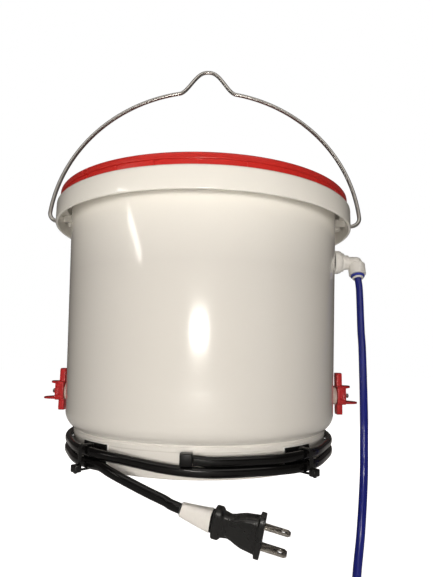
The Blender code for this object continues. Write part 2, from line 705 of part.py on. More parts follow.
def build_heater():
    cover = piece("bottom_cover", rod(SKIRT_INNER - 2 * GAP, COVER_BOTTOM, COVER_TOP, 40), NYLON)
    foam_top = COVER_TOP + GAP + FOAM_DISC
    foam = rod(SKIRT_INNER - FOAM_DISC_CLEARANCE, COVER_TOP + GAP, foam_top, 32)
    foam = piece("insulation_pad", foam, FOAM)
    for i in range(BOSS_COUNT):
        spot = around(360 * (i + 0.5) / BOSS_COUNT, BOSS_CIRCLE, 0)
        cut(cover, moved(rod(SCREW_RADIUS + MOVING_GAP, 0, FLOOR_BOTTOM / 2, 12), spot.x, spot.y))
        cut(foam, moved(rod(BOSS_RADIUS + 2 * GAP, 0, FLOOR_BOTTOM, 16), spot.x, spot.y))
        top = COVER_BOTTOM - GAP
        grip = COVER_TOP + GAP + SCREW_GRIP
        screw = lathe(((0, top - SCREW_HEAD), (0.75 * SCREW_HEAD_RADIUS, top - SCREW_HEAD),
                       (SCREW_HEAD_RADIUS, top - 0.5 * SCREW_HEAD), (SCREW_HEAD_RADIUS, top),
                       (SCREW_RADIUS, top), (SCREW_RADIUS, grip - SCREW_RADIUS), (0, grip)), 10)
        screw = piece(f"cover_screw_{i + 1}", screw, STEEL, location=(spot.x, spot.y, 0))
        slot = SCREW_HEAD_RADIUS * 0.6
        for long, wide in ((slot, 0.2 * slot), (0.2 * slot, slot)):
            cut(screw, box((-long, -wide, top - 2 * SCREW_HEAD), (long, wide, top - 0.5 * SCREW_HEAD)))
        round_off(screw)
    round_off(cover)
    round_off(foam)
    plate_low = FLOOR_BOTTOM - GAP - PLATE_THICKNESS
    plate = rod(PLATE_RADIUS, plate_low, plate_low + PLATE_THICKNESS, 48)
    round_off(piece("heater_plate", plate, ALUMINIUM))
    mat_top = plate_low - GAP
    mat_radius = PLATE_RADIUS - MAT_INSET
    mat = lathe(((MAT_INNER_RADIUS, mat_top - MAT), (mat_radius, mat_top - MAT),
                 (mat_radius, mat_top), (MAT_INNER_RADIUS, mat_top)),
                40, math.radians(-75), math.radians(330))
    round_off(piece("heater_element", mat, SILICONE))
    can_low = mat_top - THERMOSTAT_HEIGHT
    can = lathe(((0, can_low), (THERMOSTAT_RADIUS, can_low), (THERMOSTAT_RADIUS, mat_top - MAT),
                 (THERMOSTAT_FLANGE_RADIUS, mat_top - MAT), (THERMOSTAT_FLANGE_RADIUS, mat_top),
                 (0, mat_top)), 24)
    can = piece("thermostat", can, NYLON)
    terminal_low = max(can_low - TERMINAL, foam_top + GAP)
    thin, wide = TERMINAL_THICKNESS / 2, TERMINAL_WIDTH / 2
    for x in (-0.45 * THERMOSTAT_RADIUS, 0.45 * THERMOSTAT_RADIUS):
        add(can, box((x - thin, -wide, terminal_low), (x + thin, wide, can_low + thin)))
    round_off(can)
    lead_height = UPPER_LOOP_HEIGHT + OUTLET_RISE
    start = Vector((OUTLET_CENTRE_X, -SKIRT_INNER + OUTLET_FLANGE + 3 * GAP + GAP, lead_height))
    end = Vector((0, -THERMOSTAT_RADIUS - GAP, can_low + LEAD_RADIUS))
    straight = Vector((0, LEAD_STRAIGHT, 0))
    route = [start, start + straight, start.lerp(end, 0.5), end - straight, end]
    wire("heater_lead", smooth_route(route, 4 * LEAD_RADIUS), LEAD_RADIUS, 2, CORD)


# Cord outlet: block outside, neck through the skirt, flange inside

def build_outlet():
    front = -SKIRT_RADIUS - GAP
    outlet = piece("cord_outlet", outlet_box(0, front - OUTLET_PROUD, front), NYLON)
    inner = -SKIRT_INNER + 3 * GAP
    add(outlet, outlet_box(-OUTLET_NECK_INSET, front - OUTLET_NECK_INSET, inner + 0.5 * OUTLET_FLANGE))
    add(outlet, outlet_box(OUTLET_FLANGE_LAP, inner, inner + OUTLET_FLANGE))


# Drinkers

def rounded_plate(half_width, low, high, corner):
    outline = []
    corners = ((half_width, high), (-half_width, high), (-half_width, low), (half_width, low))
    for quarter, (x, y) in enumerate(corners):
        first = 90 * quarter
        centre = (x - math.copysign(corner, x), y - corner if y == high else y + corner)
        for i in range(4):
            angle = math.radians(first + 30 * i)
            outline.append((centre[0] + corner * math.cos(angle), centre[1] + corner * math.sin(angle)))
    return outline


def stand_up(bm, offset):
    """Turn a shape whose outline lies in X, Y and whose depth is Z so that its depth is X."""
    turn = Matrix(((0, 0, 1, 0), (1, 0, 0, 0), (0, 1, 0, 0), (0, 0, 0, 1)))
    bm.transform(Matrix.Translation((offset, 0, 0)) @ turn)
    return bm


def hexagon(radius):
    return [(radius * math.cos(math.tau * i / 6), radius * math.sin(math.tau * i / 6)) for i in range(6)]


def lip(start, tip, height, thickness, depth):
    """A flat lip reaching out along X, whose tip is round over a depth."""
    half = LIP_WIDTH / 2
    outline = [(start, -half), (tip - depth, -half)]
    for i in range(1, 8):
        angle = math.radians(-90 + 180 * i / 8)
        outline.append((tip - depth + depth * math.cos(angle), half * math.sin(angle)))
    outline += [(tip - depth, half), (start, half)]
    return extrude(outline, height, height + thickness)


def build_drinker(side, name):
    base = (side * wall_radius(DRINKER_HEIGHT), 0, DRINKER_HEIGHT)
    turn = (0, 0, 0 if side > 0 else math.pi)
    place = frame(f"drinker_{name}", base, turn)
    plate_low = WASHER_STAND_OFF + WASHER + GAP
    face = plate_low + PLATE
    front = face + BLOCK_PROUD
    arm = rounded_plate(ARM_WIDTH / 2, ARM_BOTTOM, ARM_TOP, PLATE_CORNER)
    body = piece(f"nipple_body_{name}", stand_up(extrude(arm, plate_low, face), 0), RED, place)
    block = rounded_plate(BLOCK_WIDTH / 2, BLOCK_BOTTOM, BLOCK_TOP, PLATE_CORNER)
    add(body, stand_up(extrude(block, plate_low, front), 0))
    hood_height = BLOCK_TOP + HOOD_RISE - HOOD_THICKNESS
    add(body, lip(face - 0.5 * PLATE, face + HOOD_REACH, hood_height, HOOD_THICKNESS, 0.7 * HOOD_REACH))
    tray_height = BLOCK_BOTTOM + TRAY_RISE
    add(body, lip(face - 0.5 * PLATE, face + TRAY_REACH, tray_height, TRAY_THICKNESS, LIP_WIDTH / 2))
    add(body, along_x(rod(SHANK_RADIUS, -SHANK_LENGTH, plate_low + 0.5 * PLATE, 24)))
    for edge in (-1, 1):
        flank = sorted((edge * (BLOCK_WIDTH / 2 + PAST), edge * (BLOCK_WIDTH / 2 - WINDOW_DEPTH)))
        low = (plate_low + WINDOW_EDGE, flank[0], BLOCK_BOTTOM + WINDOW_SILL)
        high = (front - WINDOW_EDGE, flank[1], BLOCK_TOP - WINDOW_HEAD)
        cut(body, box(low, high))
    bore = ((0, -SHANK_LENGTH - PAST), (CHAMBER_RADIUS, -SHANK_LENGTH - PAST),
            (CHAMBER_RADIUS, CHAMBER_FRONT), (PIN_BORE_RADIUS, CHAMBER_FRONT),
            (PIN_BORE_RADIUS, front + PAST), (0, front + PAST))
    cut(body, along_x(lathe(bore, 20)))
    round_off(body)
    gasket = washer(SHANK_RADIUS + GAP, WASHER_RADIUS, WASHER_STAND_OFF, WASHER_STAND_OFF + WASHER, 28)
    round_off(piece(f"nipple_gasket_{name}", along_x(gasket), PALE_RUBBER, place))
    seat = -WALL - 3.6 * GAP
    nut = extrude(hexagon(NUT_RADIUS), seat - NUT_THICKNESS, seat)
    nut = piece(f"nipple_nut_{name}", stand_up(nut, 0), RED, place)
    cut(nut, along_x(rod(SHANK_RADIUS + GAP, seat - 2 * NUT_THICKNESS, 0, 24)))
    round_off(nut)
    seal_front = CHAMBER_FRONT - GAP
    seal = washer(SEAL_BORE_RADIUS, CHAMBER_RADIUS - GAP, seal_front - SEAL_THICKNESS, seal_front, 20)
    round_off(piece(f"nipple_seal_{name}", along_x(seal), RUBBER, place))
    head_front = seal_front - SEAL_THICKNESS - 1.2 * GAP + PIN_PIVOT_DEPTH
    head_back = head_front - PIN_HEAD
    tip = front + PIN_PROUD + PIN_PIVOT_DEPTH
    pin = ((0, head_back), (PIN_HEAD_RADIUS - PIN_EDGE, head_back), (PIN_HEAD_RADIUS, head_front),
           (PIN_RADIUS, head_front), (PIN_RADIUS, tip - PIN_TIP),
           (PIN_RADIUS - 0.75 * PIN_TIP, tip - 0.25 * PIN_TIP), (0, tip))
    pivot = (-PIN_PIVOT_DEPTH, 0, 0)
    round_off(piece(f"nipple_pin_{name}", along_x(lathe(pin, 16)), STEEL, place, location=pivot))


# Fill fitting, elbow and float valve

def build_fill():
    place = frame("fill_point", FILL_POINT)
    seat = 1.5 * GAP + FILL_WASHER + GAP
    ring_low = seat + FLANGE
    collar_low = ring_low + FLANGE_RING
    mouth = collar_low + FILL_COLLAR
    stem_depth = mouth - STEM_LENGTH
    profile = [(FILL_BORE_RADIUS, -FILL_SHANK_LENGTH), (FILL_SHANK_RADIUS, -FILL_SHANK_LENGTH)]
    shoulder = FLANGE_RADIUS - FLANGE_EDGE
    profile += [(FILL_SHANK_RADIUS, seat), (shoulder, seat), (FLANGE_RADIUS, seat + FLANGE_EDGE)]
    profile += [(FLANGE_RADIUS, seat + 0.55 * FLANGE), (shoulder, seat + 0.85 * FLANGE)]
    profile += [(shoulder - FILL_WASHER_INSET, ring_low), (FLANGE_RING_RADIUS, ring_low)]
    profile += [(FLANGE_RING_RADIUS, collar_low), (FILL_COLLAR_RADIUS, collar_low)]
    profile += [(FILL_COLLAR_RADIUS, mouth), (STEM_RADIUS + GAP, mouth)]
    profile += [(STEM_RADIUS + GAP, stem_depth - GAP), (FILL_BORE_RADIUS, stem_depth - GAP)]
    round_off(piece("fill_bulkhead", along_x(lathe(profile, 24)), FITTING, place))
    rim = FLANGE_RADIUS - FILL_WASHER_INSET
    gasket = washer(FILL_SHANK_RADIUS + GAP, rim, 1.5 * GAP, 1.5 * GAP + FILL_WASHER, 28)
    round_off(piece("fill_gasket", along_x(gasket), RUBBER, place))
    nut_seat = -WALL - 2.5 * GAP
    nut = extrude(hexagon(rim), nut_seat - NUT_THICKNESS, nut_seat)
    nut = piece("fill_nut", stand_up(nut, 0), FITTING, place)
    cut(nut, along_x(rod(FILL_SHANK_RADIUS + GAP, nut_seat - 2 * NUT_THICKNESS, 0, 24)))
    round_off(nut)
    build_elbow(place, mouth, stem_depth)
    build_float_valve(place)


def build_elbow(place, mouth, stem_depth):
    stub = mouth + GAP
    axis_x = stub + ELBOW_REACH
    turn = Matrix.Rotation(math.pi - ELBOW_TILT, 4, "X")
    tilt = Matrix.Translation((axis_x, 0, 0)) @ turn
    socket = lathe(((0, -ELBOW_RADIUS), (0.75 * ELBOW_RADIUS, -ELBOW_RADIUS),
                    (ELBOW_RADIUS, -0.5 * ELBOW_RADIUS),
                    (ELBOW_RADIUS, SOCKET_TOP), (SOCKET_RADIUS - SOCKET_EDGE, SOCKET_TOP),
                    (SOCKET_RADIUS, SOCKET_TOP + SOCKET_EDGE), (SOCKET_RADIUS, SOCKET_LENGTH - SOCKET_EDGE),
                    (SOCKET_RADIUS - SOCKET_EDGE, SOCKET_LENGTH), (0, SOCKET_LENGTH)), 24)
    socket.transform(tilt)
    elbow = piece("fill_elbow", socket, FITTING, place)
    add(elbow, along_x(rod(ELBOW_RADIUS, stub, axis_x, 8)))
    add(elbow, along_x(rod(STEM_RADIUS, stem_depth, axis_x, 20)))
    collet_outer = TUBE_RADIUS + GAP + COLLET_WALL
    bore_depth = SOCKET_LENGTH - TUBE_INSERT - SOCKET_FLOOR
    bore = rod(collet_outer + GAP, bore_depth, SOCKET_LENGTH + PAST, 24)
    bore.transform(tilt)
    cut(elbow, bore)
    way = rod(WAY_RADIUS, 0, bore_depth + PAST, 12)
    way.transform(tilt)
    cut(elbow, way)
    cut(elbow, along_x(rod(STEM_WAY_RADIUS, stem_depth - PAST, axis_x + 0.5 * WAY_RADIUS, 12)))
    round_off(elbow)
    outlet = frame("elbow_outlet", (axis_x, 0, 0), (math.pi - ELBOW_TILT, 0, 0), place)
    clip_low = SOCKET_LENGTH + GAP
    head_low = clip_low + CLIP + GAP
    bore_radius = TUBE_RADIUS + GAP
    collet_low = bore_depth + 0.65 * SOCKET_FLOOR
    head_high = head_low + COLLET_HEAD
    collet = lathe(((bore_radius, collet_low), (collet_outer, collet_low), (collet_outer, head_low),
                    (COLLET_HEAD_RADIUS, head_low), (COLLET_HEAD_RADIUS, head_high),
                    (bore_radius, head_high)), 24)
    round_off(piece("elbow_collet", collet, FITTING, outlet))
    clip = piece("elbow_clip", rod(CLIP_RADIUS, clip_low, clip_low + CLIP, 28), BLUE, outlet)
    slot = collet_outer + GAP
    cut(clip, rod(slot, 0, 2 * SOCKET_LENGTH, 24))
    cut(clip, box((-slot, -2 * CLIP_RADIUS, 0), (slot, 0, 2 * SOCKET_LENGTH)))
    round_off(clip)
    build_tube(outlet, head_high)


def build_float_valve(place):
    back = -FILL_SHANK_LENGTH - GAP
    low = (back - VALVE_LENGTH, -VALVE_HALF_WIDTH, -VALVE_HALF_WIDTH)
    valve = piece("float_valve", box(low, (back, VALVE_HALF_WIDTH, VALVE_HALF_WIDTH)), FITTING, place)
    add(valve, along_x(rod(FILL_BORE_RADIUS - GAP, back - PAST, back + VALVE_SPOUT, 12)))
    hinge_x = back - VALVE_LENGTH - 0.55 * CHEEK_REACH
    for edge in (-VALVE_HALF_WIDTH, VALVE_HALF_WIDTH - CHEEK):
        low = (back - VALVE_LENGTH - CHEEK_REACH, edge, -0.5 * VALVE_HALF_WIDTH)
        add(valve, box(low, (back - VALVE_LENGTH + PAST, edge + CHEEK, 0.5 * VALVE_HALF_WIDTH)))
    across = Matrix.Translation((hinge_x, 0, 0)) @ Matrix.Rotation(math.radians(90), 4, "X")
    hole = rod(ARM_HINGE_RADIUS + GAP, -2 * VALVE_HALF_WIDTH, 2 * VALVE_HALF_WIDTH, 16)
    hole.transform(across)
    cut(valve, hole)
    pin_half = VALVE_HALF_WIDTH + ARM_HINGE_PROUD
    hinge_pin = rod(ARM_HINGE_RADIUS, -pin_half, pin_half, 16)
    hinge_pin.transform(across)
    round_off(piece("float_pin", hinge_pin, STEEL, place))
    arm_place = frame("float_hinge", (hinge_x, 0, 0), (0, -ARM_DROOP, 0), place)
    half = VALVE_HALF_WIDTH - CHEEK - 2 * GAP
    eye = rod(ARM_HALF_HEIGHT, -half, half, 20)
    eye.transform(Matrix.Rotation(math.radians(90), 4, "X"))
    arm = piece("float_arm", eye, FITTING, arm_place)
    wide = 0.55 * half
    high = 0.6 * ARM_HALF_HEIGHT
    add(arm, box((-ARM_LENGTH, -wide, -high), (0, wide, high)))
    eye_hole = rod(ARM_HINGE_RADIUS + GAP, -2 * half, 2 * half, 16)
    eye_hole.transform(Matrix.Rotation(math.radians(90), 4, "X"))
    cut(arm, eye_hole)
    round_off(arm)
    float_low = -0.5 * FLOAT_HEIGHT
    soft = FLOAT_CORNER
    ball = lathe(((0, float_low), (FLOAT_RADIUS - soft, float_low), (FLOAT_RADIUS, float_low + soft),
                  (FLOAT_RADIUS, -float_low - soft), (FLOAT_RADIUS - soft, -float_low), (0, -float_low)), 24)
    centre = -ARM_LENGTH + FLOAT_SPIGOT - FLOAT_RADIUS - GAP
    ball = piece("float_ball", moved(ball, x=centre), FITTING, arm_place)
    cut(ball, box((-ARM_LENGTH - GAP, -wide - GAP, -high - GAP), (PAST, wide + GAP, high + GAP)))
    round_off(ball)


# Blue tube and the coil that stores its far end

def build_tube(outlet, mouth):
    bpy.context.view_layer.update()
    to_pail = PAIL_FRAME.matrix_world.inverted() @ outlet.matrix_world
    start = to_pail @ Vector((0, 0, mouth - COLLET_HEAD - CLIP - TUBE_INSERT))
    leaving = to_pail @ Vector((0, 0, mouth))
    end = FILL_POINT + Vector(COIL_FROM_FILL) * MM
    straight = leaving + (leaving - start).normalized() * 4 * TUBE_RADIUS
    route = [start, leaving, straight, *beyond(FILL_POINT, TUBE_ROUTE), end]
    wire("supply_tube", smooth_route(route, 5 * TUBE_RADIUS), TUBE_RADIUS, 3, TUBE)
    first = end - Vector((0, 0, GAP))
    points = tube_coil_points(first)
    print("supply_tube_coil gap to itself, mm:", round(least_gap(points, TUBE_RADIUS, 5) / MM, 2))
    wire("supply_tube_coil", points, TUBE_RADIUS, 1, TUBE)
    centre = coil_centre(first)
    for i, angle in enumerate(COIL_TIE_ANGLES):
        build_coil_tie(f"coil_tie_{i + 1}", centre, angle, points)


def coil_outer_radius():
    return COIL_MEAN_RADIUS + COIL_PITCH * COIL_TURNS / 4


def coil_centre(first):
    return first + Vector((0, coil_outer_radius(), -2 * TUBE_RADIUS))


def tube_coil_points(first):
    """Two flat spirals side by side: in on the first layer, out again on the second."""
    centre = coil_centre(first)
    middle = COIL_TURNS / 2
    inner = coil_outer_radius() - COIL_PITCH * middle
    points = [first]
    count = round(COIL_TURNS * LOOP_POINTS)
    for i in range(count + 1):
        turn = COIL_TURNS * i / count
        radius = inner + COIL_PITCH * abs(turn - middle)
        climb = max(0.0, min(1.0, (turn - middle) / 0.5 + 0.5))
        layer = COIL_PITCH * climb * climb * (3 - 2 * climb)
        angle = math.tau * turn
        points.append(centre + Vector((layer, -radius * math.cos(angle), -radius * math.sin(angle))))
    last = (points[-1] - points[-2]).normalized()
    points.append(points[-1] + last * 2 * TUBE_RADIUS)
    return points


def build_coil_tie(name, centre, degrees, points):
    angle = math.radians(degrees)
    outward = Vector((0, math.cos(angle), math.sin(angle)))
    tangent = Vector((0, -math.sin(angle), math.cos(angle)))
    offsets = [p - centre for p in points]
    near = [p for p in offsets if abs(p.dot(tangent)) < 3 * COIL_TIE_WIDTH and p.dot(outward) > 0]
    reach = TUBE_RADIUS + GAP
    low_r = min(p.dot(outward) for p in near) - reach
    high_r = max(p.length for p in near) + reach
    low_x = min(p.x for p in near) - reach
    high_x = max(p.x for p in near) + reach
    ring = strap_ring(low_r, high_r, low_x, high_x, COIL_TIE_THICKNESS, COIL_TIE_WIDTH)
    basis = Matrix((
        (0, 1, 0, centre.x),
        (outward.y, 0, tangent.y, centre.y),
        (outward.z, 0, tangent.z, centre.z),
        (0, 0, 0, 1),
    ))
    ring.transform(basis)
    round_off(piece(name, ring, NYLON))


def strap_outline(low_u, high_u, low_v, high_v, corner):
    outline = []
    corners = ((high_u, high_v), (low_u, high_v), (low_u, low_v), (high_u, low_v))
    for quarter, (u, v) in enumerate(corners):
        first = 90 * quarter
        centre = (u + (corner if u == low_u else -corner), v + (corner if v == low_v else -corner))
        for i in range(3):
            angle = math.radians(first + 45 * i)
            outline.append((centre[0] + corner * math.cos(angle), centre[1] + corner * math.sin(angle)))
    return outline


def strap_ring(low_u, high_u, low_v, high_v, thickness, width):
    """A closed band round a rectangle, of a thickness in its plane and a width along Z."""
    inner = strap_outline(low_u, high_u, low_v, high_v, STRAP_CORNER)
    outer = strap_outline(low_u - thickness, high_u + thickness, low_v - thickness, high_v + thickness,
                          STRAP_CORNER + thickness)
    bm = bmesh.new()
    loops = []
    for outline in (inner, outer):
        for height in (-width / 2, width / 2):
            loops.append([bm.verts.new((u, v, height)) for u, v in outline])
    inner_low, inner_high, outer_low, outer_high = loops
    count = len(inner_low)
    for i in range(count):
        j = (i + 1) % count
        bm.faces.new((inner_low[i], inner_high[i], inner_high[j], inner_low[j]))
        bm.faces.new((outer_low[i], outer_low[j], outer_high[j], outer_high[i]))
        bm.faces.new((inner_low[i], inner_low[j], outer_low[j], outer_low[i]))
        bm.faces.new((inner_high[i], outer_high[i], outer_high[j], inner_high[j]))
    return bm


# Cord winding, its ties and mounts

def slot_base():
    return SKIRT_RADIUS + GAP + FOAM_PAD + GAP + 0.85 * MOUNT_PLATE


def saddle_top():
    return slot_base() + 2 * GAP + STRAP_THICKNESS + SADDLE_ROOF


def tied_radius():
    return saddle_top() + GAP + 2 * GAP + CORD_RADIUS


def winding_radius(azimuth):
    loose = (SKIRT_RADIUS + CORD_WALL_GAP + CORD_RADIUS) / math.cos(math.pi / LOOP_POINTS)
    nearest = min(abs((azimuth - tie + 180) % 360 - 180) for tie in (-TIE_AZIMUTH, TIE_AZIMUTH))
    share = max(0.0, math.cos(min(1.0, nearest / BUMP_HALF_ANGLE) * math.pi / 2)) ** 2
    return loose + (tied_radius() - loose) * share


def winding_height(azimuth):
    t = max(0.0, min(1.0, (azimuth - DROP_START) / (DROP_END - DROP_START)))
    return UPPER_LOOP_HEIGHT + (LOWER_LOOP_HEIGHT - UPPER_LOOP_HEIGHT) * t * t * (3 - 2 * t)


def winding_points():
    """From the outlet's side face, once round high, once round low, to the left tie."""
    outlet_side = OUTLET_CENTRE_X + OUTLET_HALF_WIDTH + GAP
    start_radius = SKIRT_RADIUS + CORD_WALL_GAP + CORD_RADIUS
    start = Vector((outlet_side, -start_radius, UPPER_LOOP_HEIGHT))
    points = [start, start + Vector((2 * CORD_RADIUS, 0, 0))]
    begin = math.degrees(math.atan2(points[-1].x, start_radius))
    stations = (begin, TIE_AZIMUTH, 360 - TIE_AZIMUTH, 360 + TIE_AZIMUTH, 720 - TIE_AZIMUTH)
    for first, last in zip(stations, stations[1:]):
        count = round((last - first) / (360 / LOOP_POINTS))
        for i in range(1, count + 1):
            azimuth = first + (last - first) * i / count
            points.append(around(azimuth, winding_radius(azimuth), winding_height(azimuth)))
    heading = Vector((math.cos(math.radians(-TIE_AZIMUTH)), math.sin(math.radians(-TIE_AZIMUTH)), 0))
    points.append(points[-1] + heading * 2 * CORD_RADIUS)
    return points, heading


def sector(inner, outer, low, high, centre, width):
    half = width / inner / 2
    start = math.radians(centre - 90) - half
    profile = ((inner, low), (outer, low), (outer, high), (inner, high))
    return lathe(profile, 6, start, 2 * half)


def build_tie(side, name):
    azimuth = side * TIE_AZIMUTH
    middle = (UPPER_LOOP_HEIGHT + LOWER_LOOP_HEIGHT) / 2
    low = middle - MOUNT_HEIGHT / 2
    high = middle + MOUNT_HEIGHT / 2
    foam_inner = SKIRT_RADIUS + GAP
    foam = sector(foam_inner, foam_inner + FOAM_PAD, low, high, azimuth, MOUNT_WIDTH)
    round_off(piece(f"foam_pad_{name}", foam, FOAM))
    plate_inner = foam_inner + FOAM_PAD + GAP
    plate_outer = plate_inner + MOUNT_PLATE
    width = MOUNT_WIDTH - 2 * MOUNT_INSET
    plate = sector(plate_inner, plate_outer, low + MOUNT_INSET, high - MOUNT_INSET, azimuth, width)
    mount = piece(f"tie_mount_{name}", plate, NYLON)
    turn = Matrix.Rotation(math.radians(azimuth - 90), 4, "Z")
    saddle_half = MOUNT_HEIGHT / 2 - SADDLE_END
    slot_low = slot_base()
    slot_high = slot_low + STRAP_THICKNESS + 2 * GAP
    saddle = box((plate_inner + 0.3 * MOUNT_PLATE, -SADDLE_HALF_WIDTH, middle - saddle_half),
                 (slot_high + SADDLE_ROOF, SADDLE_HALF_WIDTH, middle + saddle_half))
    saddle.transform(turn)
    add(mount, saddle)
    slot_half = STRAP_WIDTH / 2 + GAP
    slot = box((slot_low, -slot_half, low - PAST), (slot_high, slot_half, high + PAST))
    slot.transform(turn)
    cut(mount, slot)
    back = slot_low + GAP + STRAP_THICKNESS
    reach = CORD_RADIUS + GAP
    front = tied_radius() + reach
    strap_low = LOWER_LOOP_HEIGHT - reach
    strap_high = UPPER_LOOP_HEIGHT + reach
    strap = strap_ring(back, front, strap_low, strap_high, STRAP_THICKNESS, STRAP_WIDTH)
    stand = Matrix(((1, 0, 0, 0), (0, 0, -1, 0), (0, 1, 0, 0), (0, 0, 0, 1)))
    strap.transform(turn @ stand)
    tie = piece(f"cable_tie_{name}", strap, NYLON)
    head_low = strap_low - 1.5 * STRAP_THICKNESS
    head_back = front + 0.4 * STRAP_THICKNESS
    head_half = 0.65 * TIE_HEAD
    head = box((head_back, -head_half, head_low), (head_back + TIE_HEAD, head_half, head_low + TIE_HEAD))
    head.transform(turn)
    add(tie, head)
    tail_back = head_back + 0.5 * TIE_HEAD
    tail = box((tail_back, -STRAP_WIDTH / 2, head_low - 0.15 * TIE_HEAD),
               (tail_back + STRAP_THICKNESS, STRAP_WIDTH / 2, head_low + 0.5 * TIE_HEAD))
    tail.transform(turn)
    add(tie, tail)


def build_cord():
    points, heading = winding_points()
    print("power_cord_winding gap to itself, mm:", round(least_gap(points, CORD_RADIUS, 5) / MM, 2))
    wire("power_cord_winding", points, CORD_RADIUS, 1, CORD)
    tied = around(-TIE_AZIMUTH, tied_radius(), LOWER_LOOP_HEIGHT)
    plug_position = tied + Vector(PLUG_FROM_WINDING) * MM
    place = frame("plug_axis", plug_position, (PLUG_ROLL, PLUG_PITCH, PLUG_YAW))
    start = points[-1] + heading * GAP
    mouth, arrival = relief_mouth()
    turn = Euler((PLUG_ROLL, PLUG_PITCH, PLUG_YAW)).to_matrix()
    end = plug_position + turn @ mouth
    before = end - turn @ arrival * 2 * CORD_RADIUS
    route = [start, start + heading * 2 * CORD_RADIUS, *beyond(tied, LEAD_ROUTE), before, end]
    wire("power_cord_lead", smooth_route(route, 4 * CORD_RADIUS), CORD_RADIUS, 3, CORD)
    build_plug(place)


def relief_mouth():
    """Where the cord's end face stands in the plug's frame, and the direction that it arrives in."""
    slope = -2 * RELIEF_BEND / RELIEF_LENGTH
    arrival = Vector((1, 0, slope)).normalized()
    return Vector((0, 0, RELIEF_BEND)) - arrival * GAP, arrival


def bend(bm):
    """Lift a shape built along X so that it curves up towards the cord."""
    for vert in bm.verts:
        share = (RELIEF_LENGTH - vert.co.x) / RELIEF_LENGTH
        slope = -2 * RELIEF_BEND * share / RELIEF_LENGTH
        rise = RELIEF_BEND * share * abs(share)
        vert.co = Vector((vert.co.x - slope * vert.co.z, vert.co.y, vert.co.z + rise))
    return bm


def relief_section(x, grow=0.0):
    """The relief's section at x, wider and thicker by grow."""
    share = x / RELIEF_LENGTH
    thickness = RELIEF_NECK[0] + (RELIEF_FOOT[0] - RELIEF_NECK[0]) * share
    width = RELIEF_NECK[1] + (RELIEF_FOOT[1] - RELIEF_NECK[1]) * share
    return x, thickness + grow, width + grow


def build_plug(place):
    middle = 0.5 * RELIEF_LENGTH
    relief = loft([relief_section(x) for x in (0.0, middle, RELIEF_LENGTH)])
    round_off(piece("plug_relief", bend(relief), CORD, place))
    hollow = 2 * GAP
    wrap = hollow + 2 * LABEL_THICKNESS
    label = loft([relief_section(x, wrap) for x in (LABEL_TUCK, middle, RELIEF_LENGTH - 2 * LABEL_TUCK)])
    label = piece("plug_label", bend(label), PAPER, place)
    cut(label, bend(loft([relief_section(x, hollow) for x in (-PAST, middle, RELIEF_LENGTH + PAST)])))
    round_off(label)
    body_start = RELIEF_LENGTH + GAP
    front = body_start + PLUG_LENGTH
    sections = [(body_start + PLUG_LENGTH * x, PLUG_THICKNESS * t, PLUG_WIDTH * w) for x, t, w in PLUG_SHAPE]
    body = piece("plug_body", loft(sections, 20), NYLON, place)
    half = BLADE_THICKNESS / 2
    tip = front + BLADE_LENGTH
    bevel = tip - BLADE_BEVEL
    for edge, width, name in ((1, BLADE_WIDTH, "narrow"), (-1, WIDE_BLADE_WIDTH, "wide")):
        height = edge * BLADE_SPACING / 2
        side = width / 2
        cut(body, box((front - BLADE_SEAT - GAP, -side - GAP, height - half - GAP),
                      (front + PAST, side + GAP, height + half + GAP)))
        outline = [(front - BLADE_SEAT, -side), (bevel, -side), (tip, BLADE_BEVEL - side),
                   (tip, side - BLADE_BEVEL), (bevel, side), (front - BLADE_SEAT, side)]
        blade = piece(f"plug_blade_{name}", extrude(outline, height - half, height + half), NICKEL, place)
        hole = rod(BLADE_HOLE_RADIUS, height - 2 * half, height + 2 * half, 16)
        cut(blade, moved(hole, x=tip - BLADE_HOLE_INSET))
    round_off(body)


build_pail()
build_lid()
build_bail()
build_heater()
build_outlet()
build_drinker(-1, "left")
build_drinker(1, "right")
build_fill()
build_tie(-1, "left")
build_tie(1, "right")
build_cord()
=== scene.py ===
import math

import bmesh
import bpy
from mathutils import Euler, Matrix, Vector


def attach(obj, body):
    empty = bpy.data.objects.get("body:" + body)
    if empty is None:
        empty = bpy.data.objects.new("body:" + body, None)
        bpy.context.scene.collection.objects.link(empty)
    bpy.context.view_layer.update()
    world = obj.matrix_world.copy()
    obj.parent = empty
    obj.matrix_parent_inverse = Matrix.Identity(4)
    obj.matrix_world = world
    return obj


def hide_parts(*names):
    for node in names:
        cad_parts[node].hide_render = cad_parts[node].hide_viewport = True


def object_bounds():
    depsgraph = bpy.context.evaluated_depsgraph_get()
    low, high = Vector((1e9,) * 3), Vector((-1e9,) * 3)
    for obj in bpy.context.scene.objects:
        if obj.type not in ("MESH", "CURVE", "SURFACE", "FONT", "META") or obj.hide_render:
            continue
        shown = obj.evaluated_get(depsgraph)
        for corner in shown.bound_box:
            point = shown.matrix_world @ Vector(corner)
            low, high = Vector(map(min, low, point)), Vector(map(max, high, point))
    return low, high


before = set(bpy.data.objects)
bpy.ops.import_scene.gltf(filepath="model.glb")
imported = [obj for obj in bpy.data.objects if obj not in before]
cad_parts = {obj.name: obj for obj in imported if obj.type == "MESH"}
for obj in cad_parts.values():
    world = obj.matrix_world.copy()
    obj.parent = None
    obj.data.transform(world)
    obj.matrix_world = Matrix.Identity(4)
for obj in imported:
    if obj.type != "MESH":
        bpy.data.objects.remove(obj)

cad_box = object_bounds()


